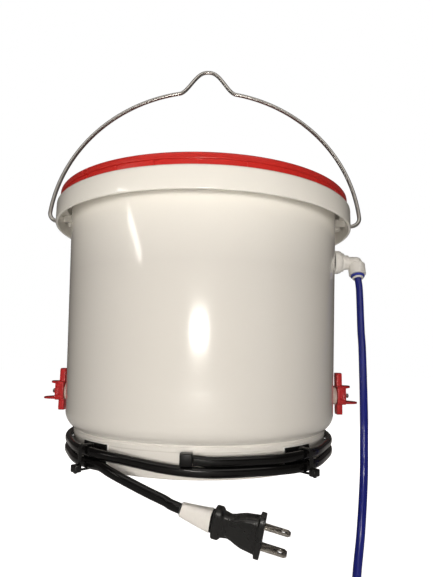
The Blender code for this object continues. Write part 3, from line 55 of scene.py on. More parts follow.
# Camera.
# It stands about half a metre in front of the pail, a little under its middle, looks slightly up
# and is turned by one degree, as a telephone held in one hand is.
pail_foot = Vector((0.0, -0.023952, -0.378925))
eye = pail_foot + Vector((0.0127, -0.4404, 0.0854))
pitch = math.radians(7.82)
roll = math.radians(1.03)
looking = Vector((0, math.cos(pitch), math.sin(pitch)))
level_up = Vector((0, -math.sin(pitch), math.cos(pitch)))
level_right = looking.cross(level_up)
camera_right = level_right * math.cos(roll) + level_up * math.sin(roll)
camera_up = camera_right.cross(looking)
camera_data = bpy.data.cameras.new("camera")
camera_data.sensor_width = 36.0
camera_data.lens = 29.32
camera_data.clip_start = 0.01
camera = bpy.data.objects.new("camera", camera_data)
turned_camera = Matrix((camera_right, camera_up, -looking)).transposed().to_4x4()
camera.matrix_world = Matrix.Translation(eye) @ turned_camera
bpy.context.scene.collection.objects.link(camera)
bpy.context.scene.camera = camera
bpy.context.scene.view_settings.view_transform = "Standard"


# Supply cord.
# Flat twin cord, two insulated conductors under one glossy black jacket with a shallow groove between
# them. It leaves a block in the base ring, is wound twice round the ring and ends in a moulded plug.
MM = 0.001
mm_to_row = Matrix.Translation(pail_foot) @ Matrix.Scale(MM, 4)


def shift(x, y=0.0, z=0.0):
    return Matrix.Translation((x, y, z))


def turn(degrees, axis):
    return Matrix.Rotation(math.radians(degrees), 4, axis)


def around(azimuth, radius, height):
    """A point on a circle about the pail's axis, its azimuth in degrees to the right of the front."""
    angle = math.radians(azimuth)
    return Vector((radius * math.sin(angle), -radius * math.cos(angle), height))


def ease(share):
    share = max(0.0, min(1.0, share))
    return share * share * (3 - 2 * share)


def smooth_route(route, spacing):
    """Points a spacing apart on a smooth curve through the route's points."""
    dense = []
    ends = [route[0] * 2 - route[1], *route, route[-1] * 2 - route[-2]]
    for a, b, c, d in zip(ends, ends[1:], ends[2:], ends[3:]):
        for i in range(20):
            t = i / 20
            dense.append(0.5 * ((2 * b) + (c - a) * t + (2 * a - 5 * b + 4 * c - d) * t ** 2
                                + (3 * b - a - 3 * c + d) * t ** 3))
    dense.append(route[-1])
    total = sum((q - p).length for p, q in zip(dense, dense[1:]))
    count = max(2, round(total / spacing))
    points = [dense[0]]
    run = 0.0
    for p, q in zip(dense, dense[1:]):
        step = (q - p).length
        while len(points) < count and run + step >= total * len(points) / count:
            points.append(p.lerp(q, (total * len(points) / count - run) / step))
        run += step
    return points + [dense[-1]]


def new_tree(name, sockets):
    """A geometry tree with named inputs: (label, socket type, default), and a material."""
    tree = bpy.data.node_groups.new(name, "GeometryNodeTree")
    tree.interface.new_socket("Geometry", in_out="INPUT", socket_type="NodeSocketGeometry")
    tree.interface.new_socket("Geometry", in_out="OUTPUT", socket_type="NodeSocketGeometry")
    for label, kind, default in sockets:
        socket = tree.interface.new_socket(label, in_out="INPUT", socket_type="NodeSocket" + kind)
        socket.default_value = default
    tree.interface.new_socket("Material", in_out="INPUT", socket_type="NodeSocketMaterial")
    return tree, tree.nodes.new("NodeGroupInput").outputs


def linked(name, data):
    """A new object in the scene."""
    made = bpy.data.objects.new(name, data)
    bpy.context.scene.collection.objects.link(made)
    return made


def put(tree, kind, inputs=None, **settings):
    """A node whose inputs, by name or number, are values or other nodes' outputs.

    A kind without the word Node in it is a geometry node's.
    """
    node = tree.nodes.new(kind if "Node" in kind else "GeometryNode" + kind)
    for key, value in settings.items():
        setattr(node, key, value)
    for key, value in (inputs or {}).items():
        if isinstance(value, bpy.types.NodeSocket):
            tree.links.new(value, node.inputs[key])
        else:
            node.inputs[key].default_value = value
    return node.outputs


def vector(tree, x=0.0, y=0.0, z=0.0):
    return put(tree, "ShaderNodeCombineXYZ", {"X": x, "Y": y, "Z": z})[0]


def mapped(tree, value, low, high, to_low=0.0, to_high=1.0):
    """A value mapped from one range onto another."""
    return put(tree, "ShaderNodeMapRange", {"Value": value, "From Min": low, "From Max": high,
                                            "To Min": to_low, "To Max": to_high})[0]


def along_line(tree, line, section):
    """A section run along a line, with closed ends."""
    return put(tree, "CurveToMesh", {"Curve": line, "Profile Curve": section, "Fill Caps": True})[0]


def calc(tree, operation, a, b=0.0):
    return put(tree, "ShaderNodeMath", {0: a, 1: b}, operation=operation)[0]


def close_tree(tree, geometry, material):
    """Every tree ends in real geometry that carries its material."""
    real = put(tree, "RealizeInstances", {0: geometry})[0]
    coloured = put(tree, "SetMaterial", {"Geometry": real, "Material": material})[0]
    put(tree, "NodeGroupOutput", {0: coloured})


def both(tree, first, second):
    joined = put(tree, "JoinGeometry")[0]
    for geometry in (first, second):
        tree.links.new(geometry, joined.node.inputs[0])
    return joined


def seen_mesh(carrier):
    """The plain mesh of a carrier object as its modifiers leave it."""
    bpy.context.view_layer.update()
    return bpy.data.meshes.new_from_object(carrier.evaluated_get(bpy.context.evaluated_depsgraph_get()))


def grown(name, source, tree, material, **values):
    """The plain mesh that a geometry tree makes from a source mesh, in millimetres."""
    carrier = linked(name + "_carrier", source)
    modifier = carrier.modifiers.new("tree", "NODES")
    modifier.node_group = tree
    inputs = [item for item in tree.interface.items_tree if item.in_out == "INPUT"]
    names = {item.name.replace(" ", "_"): item.identifier for item in inputs}
    for label, value in {**values, "Material": material}.items():
        modifier[names[label]] = value
    mesh = seen_mesh(carrier)
    carrier.modifiers.remove(modifier)
    bpy.data.objects.remove(carrier)
    return mesh


def as_mesh(shape):
    """A mesh of a shape, or the mesh itself."""
    if not isinstance(shape, bmesh.types.BMesh):
        return shape
    mesh = bpy.data.meshes.new("shape")
    bmesh.ops.recalc_face_normals(shape, faces=shape.faces)
    shape.to_mesh(mesh)
    shape.free()
    return mesh


def piece(name, mesh, nodes, material, place=None, body="pail", sharp=35.0):
    """A finished piece: its place goes into its mesh, it rides on a body and stands for CAD nodes."""
    mesh = as_mesh(mesh)
    mesh.name = name
    mesh.transform(mm_to_row @ (place or Matrix.Identity(4)))
    shape = bmesh.new()
    shape.from_mesh(mesh)
    bmesh.ops.remove_doubles(shape, verts=shape.verts, dist=2e-7)
    bmesh.ops.recalc_face_normals(shape, faces=shape.faces)
    shape.to_mesh(mesh)
    shape.free()
    mesh.shade_smooth()
    mesh.set_sharp_from_angle(angle=math.radians(sharp))
    mesh.materials.clear()
    mesh.materials.append(material)
    mesh.polygons.foreach_set("material_index", [0] * len(mesh.polygons))
    finished = linked(name, mesh)
    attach(finished, body)
    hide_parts(*nodes.split())
    return finished


def line_mesh(name, points, closed=False):
    mesh = bpy.data.meshes.new(name)
    edges = [(i, i + 1) for i in range(len(points) - 1)]
    if closed:
        edges.append((len(points) - 1, 0))
    mesh.from_pydata([tuple(p) for p in points], edges, [])
    return mesh


def finish(name, slot, colour, roughness, patches, grain=(), metallic=0.0, **sockets):
    """A procedural finish: colour, or one grey value, and roughness vary in soft patches. slot is not used.

    patches are (scale per metre, colour share, roughness share). grain, a fine relief, is (scale per
    metre, height in mm).
    """
    material = bpy.data.materials.new(name)
    colour = colour if isinstance(colour, tuple) else (colour,) * 3
    material.use_nodes = True
    tree = material.node_tree
    shader = tree.nodes["Principled BSDF"]
    shader.inputs["Metallic"].default_value = metallic
    for key, value in sockets.items():
        shader.inputs[key.replace("_", " ")].default_value = value
    place = put(tree, "ShaderNodeTexCoord")["Object"]
    scale, colour_share, rough_share = patches
    cloud = {"Vector": place, "Scale": scale, "Detail": 4.0, "Roughness": 0.55}
    noise = put(tree, "ShaderNodeTexNoise", cloud)[0]
    dark = tuple(c * (1 - colour_share) for c in colour)
    light = tuple(min(1.0, c * (1 + colour_share)) for c in colour)
    tint = put(tree, "ShaderNodeMix", {"Factor": noise, 6: (*dark, 1.0), 7: (*light, 1.0)},
               data_type="RGBA")[2]
    tree.links.new(tint, shader.inputs["Base Color"])
    rough = mapped(tree, noise, 0.3, 0.7, roughness * (1 - rough_share), roughness * (1 + rough_share))
    tree.links.new(rough, shader.inputs["Roughness"])
    if grain:
        fine = put(tree, "ShaderNodeTexNoise", {"Vector": place, "Scale": grain[0], "Detail": 3.0})[0]
        bump = put(tree, "ShaderNodeBump", {"Height": fine, "Strength": 1.0, "Distance": grain[1] * MM})[0]
        tree.links.new(bump, shader.inputs["Normal"])
    return material


TIE_AZIMUTH = 41.5
UPPER_TURN, LOWER_TURN = 14.2, 6.0
LOOSE_RADIUS, TIED_RADIUS = 113.9, 118.9
DESCENT_START, DESCENT_END = 313.5, 368.0
SAG = 1.15


def winding_line():
    """Once round the ring high, once low and over both tie mounts, in millimetres."""
    points = [Vector((-0.9, -114.2, UPPER_TURN))]
    last = 720 - TIE_AZIMUTH
    azimuth = 1.0
    while azimuth < last + 0.1:
        nearest = min(abs((azimuth - spot + 180) % 360 - 180) for spot in (-TIE_AZIMUTH, TIE_AZIMUTH))
        lift = math.cos(min(1.0, nearest / 24.0) * math.pi / 2) ** 2
        descent = ease((azimuth - DESCENT_START) / (DESCENT_END - DESCENT_START))
        height = UPPER_TURN + (LOWER_TURN - UPPER_TURN) * descent
        if azimuth < TIE_AZIMUTH:
            height -= SAG * ease(min(azimuth / 5.0, (TIE_AZIMUTH - azimuth) / 14.0))
        points.append(around(azimuth, LOOSE_RADIUS + (TIED_RADIUS - LOOSE_RADIUS) * lift, height))
        azimuth += 1.5 if azimuth < last - 1.5 else max(0.5, last - azimuth)
    return points


plug_angles = (math.radians(8.7), math.radians(11.5), math.radians(-11.8))
plug_place = shift(-8.0, -123.7, -14.6) @ Euler(plug_angles).to_matrix().to_4x4()
RELIEF_LENGTH, RELIEF_BEND = 22.0, 1.2
cord_line = winding_line()
cord_heading = Vector((math.cos(math.radians(-TIE_AZIMUTH)), math.sin(math.radians(-TIE_AZIMUTH)), 0))
arrival = Vector((1, 0, -2 * RELIEF_BEND / RELIEF_LENGTH)).normalized()
cord_end = plug_place @ (Vector((0, 0, RELIEF_BEND)) - arrival * 0.3)
cord_before = cord_end - plug_place.to_3x3() @ arrival * 7.0
free_route = [cord_line[-2], cord_line[-1], cord_line[-1] + cord_heading * 7.3]
free_route += [Vector(p) for p in ((-65.5, -100.95, 6.3), (-57.8, -107.05, 4.1), (-49.2, -111.65, 1.4),
                                   (-39.2, -115.15, -2.2), (-29.2, -117.85, -5.9), (-18.4, -120.35, -9.8))]
free_route += [cord_before, cord_end]
cord_line = cord_line[:-2] + smooth_route(free_route, 2.5)

swept, at = new_tree("swept_cord", [
    ("Width", "Float", 7.0), ("Thickness", "Float", 5.0), ("Groove", "Float", 0.1), ("Sides", "Int", 28),
    ("End Twist", "Float", 0.0)])
circle = put(swept, "CurvePrimitiveCircle", {"Resolution": at["Sides"], "Radius": 1.0})[0]
spot = put(swept, "ShaderNodeSeparateXYZ", {0: put(swept, "InputPosition")[0]})
to_middle = calc(swept, "SUBTRACT", 1.0, calc(swept, "ABSOLUTE", spot["Y"]))
furrow = calc(swept, "MULTIPLY", calc(swept, "POWER", to_middle, 5.0), at["Groove"])
across = calc(swept, "MULTIPLY", spot["X"], at["Thickness"])
across = calc(swept, "MULTIPLY", across, calc(swept, "SUBTRACT", 0.5, furrow))
along = calc(swept, "MULTIPLY", calc(swept, "MULTIPLY", spot["Y"], at["Width"]), 0.5)
section = put(swept, "SetPosition", {"Geometry": circle, "Position": vector(swept, across, along)})[0]
run = put(swept, "MeshToCurve", {0: at["Geometry"]})[0]
run = put(swept, "SetCurveNormal", {0: run}, mode="Z_UP")[0]
share = put(swept, "SplineParameter")["Factor"]
twist = calc(swept, "MULTIPLY", mapped(swept, share, 0.96, 1.0), at["End Twist"])
run = put(swept, "SetCurveTilt", {"Curve": run, "Tilt": twist})[0]
close_tree(swept, along_line(swept, run, section), at["Material"])

cord_black = finish("cord_black_jacket", "black_cord", 0.003, 0.18, (60.0, 0.3, 0.15), (900.0, 0.01),
                    Specular_IOR_Level=0.4)
cord_mesh = grown("power_cord", line_mesh("power_cord_path", cord_line), swept, cord_black,
                  Width=7.0, Thickness=5.4, Groove=0.04, Sides=28, End_Twist=math.radians(8.7))
power_cord = piece("power_cord", cord_mesh, "power_cord_winding power_cord_lead", cord_black)


# Plug.
# A two-blade plug moulded on the cord: a tapered relief, a back flange, a waist to grip, a broad
# front with a thin face plate, and two nickel-plated blades. A bare paper band is wrapped on the relief.
def superellipse(thickness, width, points, squareness):
    ring = []
    for i in range(points):
        angle = math.tau * (i + 0.5) / points
        c, s = math.cos(angle), math.sin(angle)
        ring.append((0.5 * thickness * math.copysign(abs(c) ** (2 / squareness), c),
                     0.5 * width * math.copysign(abs(s) ** (2 / squareness), s)))
    return ring


def join_rings(shape, near, far):
    for i in range(len(near)):
        shape.faces.new((near[i - 1], near[i], far[i], far[i - 1]))


def loft(stations, points=40, squareness=3.0):
    """A closed skin along X through stations of (x, thickness along Y, width along Z)."""
    shape = bmesh.new()
    rings = []
    for x, thickness, width in stations:
        ring = superellipse(thickness, width, points, squareness)
        rings.append([shape.verts.new((x, y, z)) for y, z in ring])
    for near, far in zip(rings, rings[1:]):
        join_rings(shape, near, far)
    shape.faces.new(list(reversed(rings[0])))
    shape.faces.new(rings[-1])
    return shape


def between(stations, x):
    for (x0, *low), (x1, *high) in zip(stations, stations[1:]):
        if x <= x1:
            t = 0.0 if x1 == x0 else max(0.0, (x - x0) / (x1 - x0))
            return [a + (b - a) * t for a, b in zip(low, high)]
    return list(stations[-1][1:])


def relief_bend(shape):
    for vert in shape.verts:
        share = (RELIEF_LENGTH - vert.co.x) / RELIEF_LENGTH
        slope = -2 * RELIEF_BEND * share / RELIEF_LENGTH
        vert.co.x -= slope * vert.co.z
        vert.co.z += RELIEF_BEND * share * abs(share)
    return shape


relief_ends = ((0.0, 5.0, 8.0), (RELIEF_LENGTH, 9.0, 14.4))
relief_rows = [(0.0, 4.2, 7.2), (0.15, 4.8, 7.8)]
relief_rows += [(x, *between(relief_ends, x)) for x in (0.5 + 0.5 * i for i in range(44))]
relief = piece("plug_relief_skin", relief_bend(loft(relief_rows)), "plug_relief", cord_black, plug_place)

label_shape = bmesh.new()
LABEL_POINTS, LABEL_ROWS = 60, 40
label_layers = []
for wrap in (0.42, 0.12):
    rings = []
    for i in range(LABEL_ROWS + 1):
        x = 0.7 + (RELIEF_LENGTH - 1.9) * i / LABEL_ROWS
        thickness, width = (size + 2 * wrap for size in between(relief_ends, x))
        rings.append([])
        for k, (y, z) in enumerate(superellipse(thickness, width, LABEL_POINTS, 3.0)):
            ripple = 0.05 * math.sin(0.9 * x + 0.35 * k) * math.sin(0.21 * k + 0.4 * x)
            edge = 0.12 * math.sin(0.3 * k) * (1 if i == 0 else -1) if i in (0, LABEL_ROWS) else 0.0
            rings[-1].append(label_shape.verts.new((x + edge, y * (1 + ripple / 6), z * (1 + ripple / 8))))
    label_layers.append(rings)
outside, inside = label_layers
for near, far in (*zip(outside, outside[1:]), *zip(inside, inside[1:]), (outside[0], inside[0]),
                  (outside[-1], inside[-1])):
    join_rings(label_shape, near, far)
label_paper = finish("label_paper", "white_paper", (0.86, 0.83, 0.79), 0.5, (400.0, 0.05, 0.2),
                     (2500.0, 0.03))
label = piece("plug_label_wrap", relief_bend(label_shape), "plug_label", label_paper, plug_place)

PLUG_START, PLUG_LENGTH = RELIEF_LENGTH + 0.3, 31.8
plug_form = ((0.0, 10.0, 16.5), (0.012, 11.6, 18.2), (0.035, 12.5, 19.0), (0.14, 12.5, 19.0),
             (0.17, 11.6, 17.8), (0.2, 10.0, 15.4), (0.33, 9.0, 14.0), (0.41, 9.7, 15.2), (0.5, 11.0, 17.5),
             (0.62, 12.0, 20.0), (0.875, 12.5, 22.4), (0.885, 12.8, 23.4), (0.892, 13.6, 26.2),
             (0.902, 14.0, 26.8), (0.985, 14.0, 26.8), (0.995, 13.8, 26.5), (1.0, 13.2, 25.8))
plug_rows = sorted({round(i / 80, 4) for i in range(81)} | {station[0] for station in plug_form})
plug_shape = loft([(PLUG_START + PLUG_LENGTH * x, *between(plug_form, x)) for x in plug_rows], 72, 4.2)
for vert in plug_shape.verts:
    share = (vert.co.x - PLUG_START) / PLUG_LENGTH
    half_width = between(plug_form, share)[1] / 2
    hollow = min((share - 0.24) / 0.03, (0.86 - share) / 0.02, (0.74 * half_width - abs(vert.co.z)) / 0.8)
    flat = max(0.0, min(1.0, abs(vert.co.y) - 3.0))
    vert.co.y -= math.copysign(0.55 * flat * ease(hollow), vert.co.y)
plug_black = finish("plug_black_vinyl", "black_cord", 0.011, 0.3, (120.0, 0.3, 0.25), (1500.0, 0.03))
plug_body = piece("plug_moulding", plug_shape, "plug_body", plug_black, plug_place, sharp=50.0)


def plate(outlines, thickness, soft):
    """A flat plate with soft edges, cut out along closed outlines of (x, y), its middle at z = 0."""
    curve = bpy.data.curves.new("plate", "CURVE")
    curve.dimensions = "2D"
    curve.fill_mode = "BOTH"
    curve.extrude = thickness / 2 - soft
    curve.bevel_depth = soft
    curve.bevel_resolution = 2
    curve.offset = -soft
    for outline in outlines:
        spline = curve.splines.new("POLY")
        spline.points.add(len(outline) - 1)
        for target, (x, y) in zip(spline.points, outline):
            target.co = (x, y, 0, 1)
        spline.use_cyclic_u = True
    carrier = linked("plate_outline", curve)
    mesh = seen_mesh(carrier)
    bpy.data.objects.remove(carrier)
    bpy.data.curves.remove(curve)
    return mesh


def circle_line(radius, steps=40, x=0.0):
    turns = [math.tau * i / steps for i in range(steps)]
    return [(x + radius * math.cos(a), radius * math.sin(a)) for a in turns]


nickel = finish("nickel_plate", "nickel_blade", (0.62, 0.58, 0.53), 0.26, (200.0, 0.08, 0.3),
                (1800.0, 0.01), metallic=1.0)
blade_root = PLUG_START + PLUG_LENGTH - 7.5
blade_tip = PLUG_START + PLUG_LENGTH + 16.0
blades = []
for side, width, kind in ((1, 6.35, "narrow"), (-1, 7.9, "wide")):
    half = width / 2
    upper_edge = [(blade_tip, half - 1.7), (blade_tip - 0.5, half - 1.3), (blade_tip - 1.7, half),
                  (blade_root, half)]
    outline = [(x, -y) for x, y in reversed(upper_edge)] + upper_edge
    blade_mesh = plate([outline, circle_line(1.6, 32, blade_tip - 4.4)], 1.5, 0.22)
    blades.append(piece(f"plug_blade_{kind}_plate", blade_mesh, f"plug_blade_{kind}", nickel,
                        plug_place @ shift(0, 0, side * 6.35)))


# Water tube.
# Quarter-inch polyethylene tube, dark blue and glossy, pushed into the elbow. It hangs down beside the
# pail, and what the supply line would take up is put away in a tied flat coil.
def cut_out(mesh, *cutters):
    """The mesh with each cutter's space taken out of it."""
    carrier = linked("to_cut", as_mesh(mesh))
    tools = [linked("cutter", as_mesh(cutter)) for cutter in cutters]
    for tool in tools:
        modifier = carrier.modifiers.new("cut", "BOOLEAN")
        modifier.operation = "DIFFERENCE"
        modifier.solver = "EXACT"
        modifier.object = tool
    result = seen_mesh(carrier)
    for old in (carrier, *tools):
        bpy.data.objects.remove(old)
    return result


def cylinder(radius, low, high, steps=48, axis="Z", place=(0, 0, 0)):
    shape = bmesh.new()
    bmesh.ops.create_cone(shape, cap_ends=True, segments=steps, radius1=radius, radius2=radius,
                          depth=high - low)
    to_axis = {"Z": turn(0, "Z"), "X": turn(90, "Y"), "Y": turn(-90, "X")}[axis]
    shape.transform(Matrix.Translation(place) @ to_axis @ shift(0, 0, (low + high) / 2))
    return shape


TUBE_RADIUS = 3.175
TUBE_BORE = 2.1
FILL_HEIGHT = 173.0
fill_point = shift(121.33, 0, FILL_HEIGHT)
elbow_turn = shift(23.95) @ turn(180 - 17.0, "X")
elbow_axis = fill_point @ elbow_turn
tube_mouth = elbow_axis @ Vector((0, 0, 17.0))
tube_start = elbow_axis @ Vector((0, 0, 6.6))
tube_route = [tube_start, tube_mouth, tube_mouth + (tube_mouth - tube_start).normalized() * 12.7]
tube_route += [Vector(p) for p in ((141.1, -24.0, 108.0), (139.0, -33.0, 90.0), (133.4, -51.5, 43.6),
                                   (131.0, -57.6, 17.0), (128.7, -62.0, -9.5), (122.1, -74.0, -42.5),
                                   (116.6, -80.0, -71.0), (114.4, -82.0, -97.0), (114.0, -82.4, -119.0),
                                   (114.0, -82.4, -141.0))]
tube_line = smooth_route(tube_route, 4.0)
COIL_TURNS, COIL_PITCH = 6.5, 6.95
coil_outer = 38.0 + COIL_PITCH * COIL_TURNS / 4
coil_first = tube_line[-1] - Vector((0, 0, 0.3))
coil_centre = coil_first + Vector((0, coil_outer, -2 * TUBE_RADIUS))
coil_line = []
for i in range(int(COIL_TURNS * 48) + 1):
    past_half = i / 48 - COIL_TURNS / 2
    radius = coil_outer - COIL_PITCH * COIL_TURNS / 2 + COIL_PITCH * abs(past_half)
    angle = math.tau * i / 48
    coil_line.append(coil_centre + Vector((COIL_PITCH * ease(past_half / 0.5 + 0.5),
                                           -radius * math.cos(angle), -radius * math.sin(angle))))
coil_line.append(coil_line[-1] + (coil_line[-1] - coil_line[-2]).normalized() * 2 * TUBE_RADIUS)
tube_line += coil_line
bent_wire, at = new_tree("bent_wire", [("Radius", "Float", 1.9), ("Sides", "Int", 24)])
wire_line = put(bent_wire, "MeshToCurve", {0: at["Geometry"]})[0]
wire_section = put(bent_wire, "CurvePrimitiveCircle", {"Resolution": at["Sides"], "Radius": at["Radius"]})[0]
close_tree(bent_wire, along_line(bent_wire, wire_line, wire_section), at["Material"])
tube_blue = finish("tube_navy_polyethylene", "blue_tube", (0.012, 0.017, 0.2), 0.22, (90.0, 0.2, 0.2),
                   (700.0, 0.02))
tube_mesh = grown("supply_tube", line_mesh("supply_tube_path", tube_line), bent_wire, tube_blue,
                  Radius=TUBE_RADIUS, Sides=28)
cut_end = tube_line[-1]
cut_axis = (cut_end - tube_line[-2]).normalized()
bore = cylinder(TUBE_BORE, -5.0, 1.0, 32)
bore.transform(Matrix.Translation(cut_end) @ cut_axis.to_track_quat("Z", "Y").to_matrix().to_4x4())
supply_hose = piece("supply_hose", cut_out(tube_mesh, bore), "supply_tube supply_tube_coil", tube_blue)


# Coil ties.
# Two black nylon cable ties hold the coil, each drawn through a square head; only their flat straps with fine
# teeth are built here.
tie_nylon = finish("tie_black_nylon", "black_nylon", 0.009, 0.32, (150.0, 0.3, 0.2), (1200.0, 0.02))
toothed, at = new_tree("toothed_strap", [
    ("Width", "Float", 3.4), ("Thickness", "Float", 1.0), ("Tooth Pitch", "Float", 1.1),
    ("Tooth Height", "Float", 0.18)])
strap_path = put(toothed, "MeshToCurve", {0: at["Geometry"]})[0]
strap_path = put(toothed, "SetCurveNormal", {0: strap_path}, mode="Z_UP")[0]
strap_section = put(toothed, "CurvePrimitiveQuadrilateral",
                    {"Width": at["Thickness"], "Height": at["Width"]})[0]
strap_section = put(toothed, "FilletCurve", {"Curve": strap_section, "Radius": 0.25, "Count": 2},
                    mode="POLY")[0]
band = along_line(toothed, strap_path, strap_section)
stops = put(toothed, "CurveToPoints", {"Curve": strap_path, "Length": at["Tooth Pitch"]}, mode="LENGTH")
tooth_size = vector(toothed, calc(toothed, "ADD", at["Tooth Height"], at["Thickness"]),
                    calc(toothed, "MULTIPLY", at["Width"], 0.62),
                    calc(toothed, "MULTIPLY", at["Tooth Pitch"], 0.5))
tooth = put(toothed, "MeshCube", {"Size": tooth_size})[0]
teeth = put(toothed, "InstanceOnPoints", {"Points": stops["Points"], "Instance": tooth,
                                          "Rotation": stops["Rotation"]})[0]
close_tree(toothed, both(toothed, band, teeth), at["Material"])


def arc(x, y, radius, first, last, count):
    """Points on a circle about (x, y) from a first to a last angle in degrees."""
    turns = [math.radians(first + (last - first) * i / count) for i in range(count + 1)]
    return [(x + radius * math.cos(a), y + radius * math.sin(a)) for a in turns]


def rounded_loop(low_u, high_u, low_v, high_v, corner, steps=6):
    near_u, far_u = low_u + corner, high_u - corner
    near_v, far_v = low_v + corner, high_v - corner
    loop = []
    for u, v, first in ((far_u, far_v, 0), (near_u, far_v, 90), (near_u, near_v, 180), (far_u, near_v, 270)):
        loop += arc(u, v, corner, first, first + 90, steps)
    return loop


def soft_box(low, high, soft, segments=3):
    shape = bmesh.new()
    bmesh.ops.create_cube(shape, size=1.0)
    for vert in shape.verts:
        vert.co = Vector(((high[i] + low[i]) / 2 + vert.co[i] * (high[i] - low[i]) for i in range(3)))
    bmesh.ops.bevel(shape, geom=shape.edges[:] + shape.verts[:], offset=soft, segments=segments,
                    affect="EDGES", profile=0.5)
    return shape


def joined_shapes(*shapes):
    whole = bmesh.new()
    for shape in shapes:
        mesh = as_mesh(shape)
        whole.from_mesh(mesh)
        bpy.data.meshes.remove(mesh)
    return whole


def strap(points, width, closed=True):
    """A toothed strap on a line of (u, v), its width along z."""
    return grown("strap", line_mesh("strap_path", [(u, v, 0) for u, v in points], closed), toothed,
                 tie_nylon, Width=width, Thickness=1.0)


for number, degrees in ((1, 100.0), (2, 280.0)):
    angle = math.radians(degrees)
    outward = Vector((0, math.cos(angle), math.sin(angle)))
    tangent = Vector((0, -math.sin(angle), math.cos(angle)))
    near = [p - coil_centre for p in coil_line
            if abs((p - coil_centre).dot(tangent)) < 12 and (p - coil_centre).dot(outward) > 0]
    loop = rounded_loop(min(p.dot(outward) for p in near) - 3.9, max(p.length for p in near) + 3.9,
                        min(p.x for p in near) - 3.9, max(p.x for p in near) + 3.9, 2.0)
    basis = Matrix(((0, 1, 0, coil_centre.x), (outward.y, 0, tangent.y, coil_centre.y),
                    (outward.z, 0, tangent.z, coil_centre.z), (0, 0, 0, 1)))
    piece(f"coil_tie_{number}_strap", joined_shapes(strap(loop, 3.6)),
                           f"coil_tie_{number}", tie_nylon, basis)


# Pail.
# White polyethylene, moulded in one: a drafted wall with a rounded foot, a base ring below its floor, and
# a turned-out band with a collar at the rim. Two ribs at each side inside the band hold the bail's ends.
PAIL_LEAN = 0.0266
MEAN_RADIUS = 60.0
DRINKER_HEIGHT, BAIL_HEIGHT, BOSS_CIRCLE = 48.8, 208.5, 85.0


def wall_at(height):
    return 120.0 + (height - 123.0) * PAIL_LEAN


def soft_corners(points):
    """A closed profile of (radius, height) or (radius, height, corner radius), its corners rounded."""
    profile = []
    for i, (r, z, *soft) in enumerate(points):
        if not soft:
            profile.append((r, z))
            continue
        here = Vector((r, z))
        before = (Vector(points[i - 1][:2]) - here).normalized()
        after = (Vector(points[(i + 1) % len(points)][:2]) - here).normalized()
        half = math.acos(max(-1.0, min(1.0, before.dot(after)))) / 2
        middle = here + (before + after).normalized() * soft[0] / math.sin(half)
        start = here + before * soft[0] / math.tan(half) - middle
        end = here + after * soft[0] / math.tan(half) - middle
        sweep = math.atan2(start.x * end.y - start.y * end.x, start.dot(end))
        for k in range(5):
            c, s = math.cos(sweep * k / 4), math.sin(sweep * k / 4)
            profile.append((middle.x + start.x * c - start.y * s, middle.y + start.x * s + start.y * c))
    return profile


def ring_tree(name, sockets=()):
    """A tree, its inputs and the skin that it makes of a section turned about Z."""
    tree, at = new_tree(name, [("Steps", "Int", 192), ("Mean Radius", "Float", MEAN_RADIUS), *sockets])
    section = put(tree, "MeshToCurve", {0: at["Geometry"]})[0]
    ring = put(tree, "CurvePrimitiveCircle", {"Resolution": at["Steps"], "Radius": at["Mean Radius"]})[0]
    ring = put(tree, "SetCurveNormal", {0: ring}, mode="Z_UP")[0]
    wall = put(tree, "CurveToMesh", {"Curve": ring, "Profile Curve": section})[0]
    return tree, at, put(tree, "MergeByDistance", {"Geometry": wall, "Distance": 0.001})[0]


def spread_round(tree, at, shape, rotation=(0, 0, 0), level=0.0):
    """Copies of a shape on a circle, the circle turned by half a step and lifted."""
    spots = put(tree, "MeshCircle", {"Vertices": at["Count"], "Radius": at["Circle Radius"]})[0]
    copies = put(tree, "InstanceOnPoints", {"Points": spots, "Instance": shape, "Rotation": rotation})[0]
    copies = put(tree, "RealizeInstances", {0: copies})[0]
    half_step = vector(tree, z=calc(tree, "DIVIDE", math.pi, at["Count"]))
    return put(tree, "Transform", {"Geometry": copies, "Translation": vector(tree, z=level),
                                   "Rotation": half_step})[0]


BLOCK_SOCKETS = [("Count", "Int", 26), ("Circle Radius", "Float", 132.0),
                 ("Block Length", "Float", 6.0), ("Block Width", "Float", 4.0),
                 ("Block Height", "Float", 8.0), ("Block Level", "Float", 213.8)]


def blocks_round(tree, at):
    """Blocks on a circle, each turned to face outwards."""
    size = vector(tree, at["Block Length"], at["Block Width"], at["Block Height"])
    block = put(tree, "MeshCube", {"Size": size})[0]
    spot = put(tree, "InputPosition")[0]
    outwards = put(tree, "FunctionNodeAlignEulerToVector", {"Vector": spot}, axis="X", pivot_axis="Z")[0]
    return spread_round(tree, at, block, outwards, at["Block Level"])


turned, at, turned_skin = ring_tree("turned_wall")
close_tree(turned, turned_skin, at["Material"])


def turned_mesh(name, profile, steps, material, tree=turned, **more):
    """A body of revolution about Z of a closed profile."""
    section = [(r - MEAN_RADIUS, -z, 0) for r, z in soft_corners(profile)]
    return grown(name, line_mesh(name + "_section", section, closed=True), tree, material, Steps=steps,
                 Mean_Radius=MEAN_RADIUS, **more)


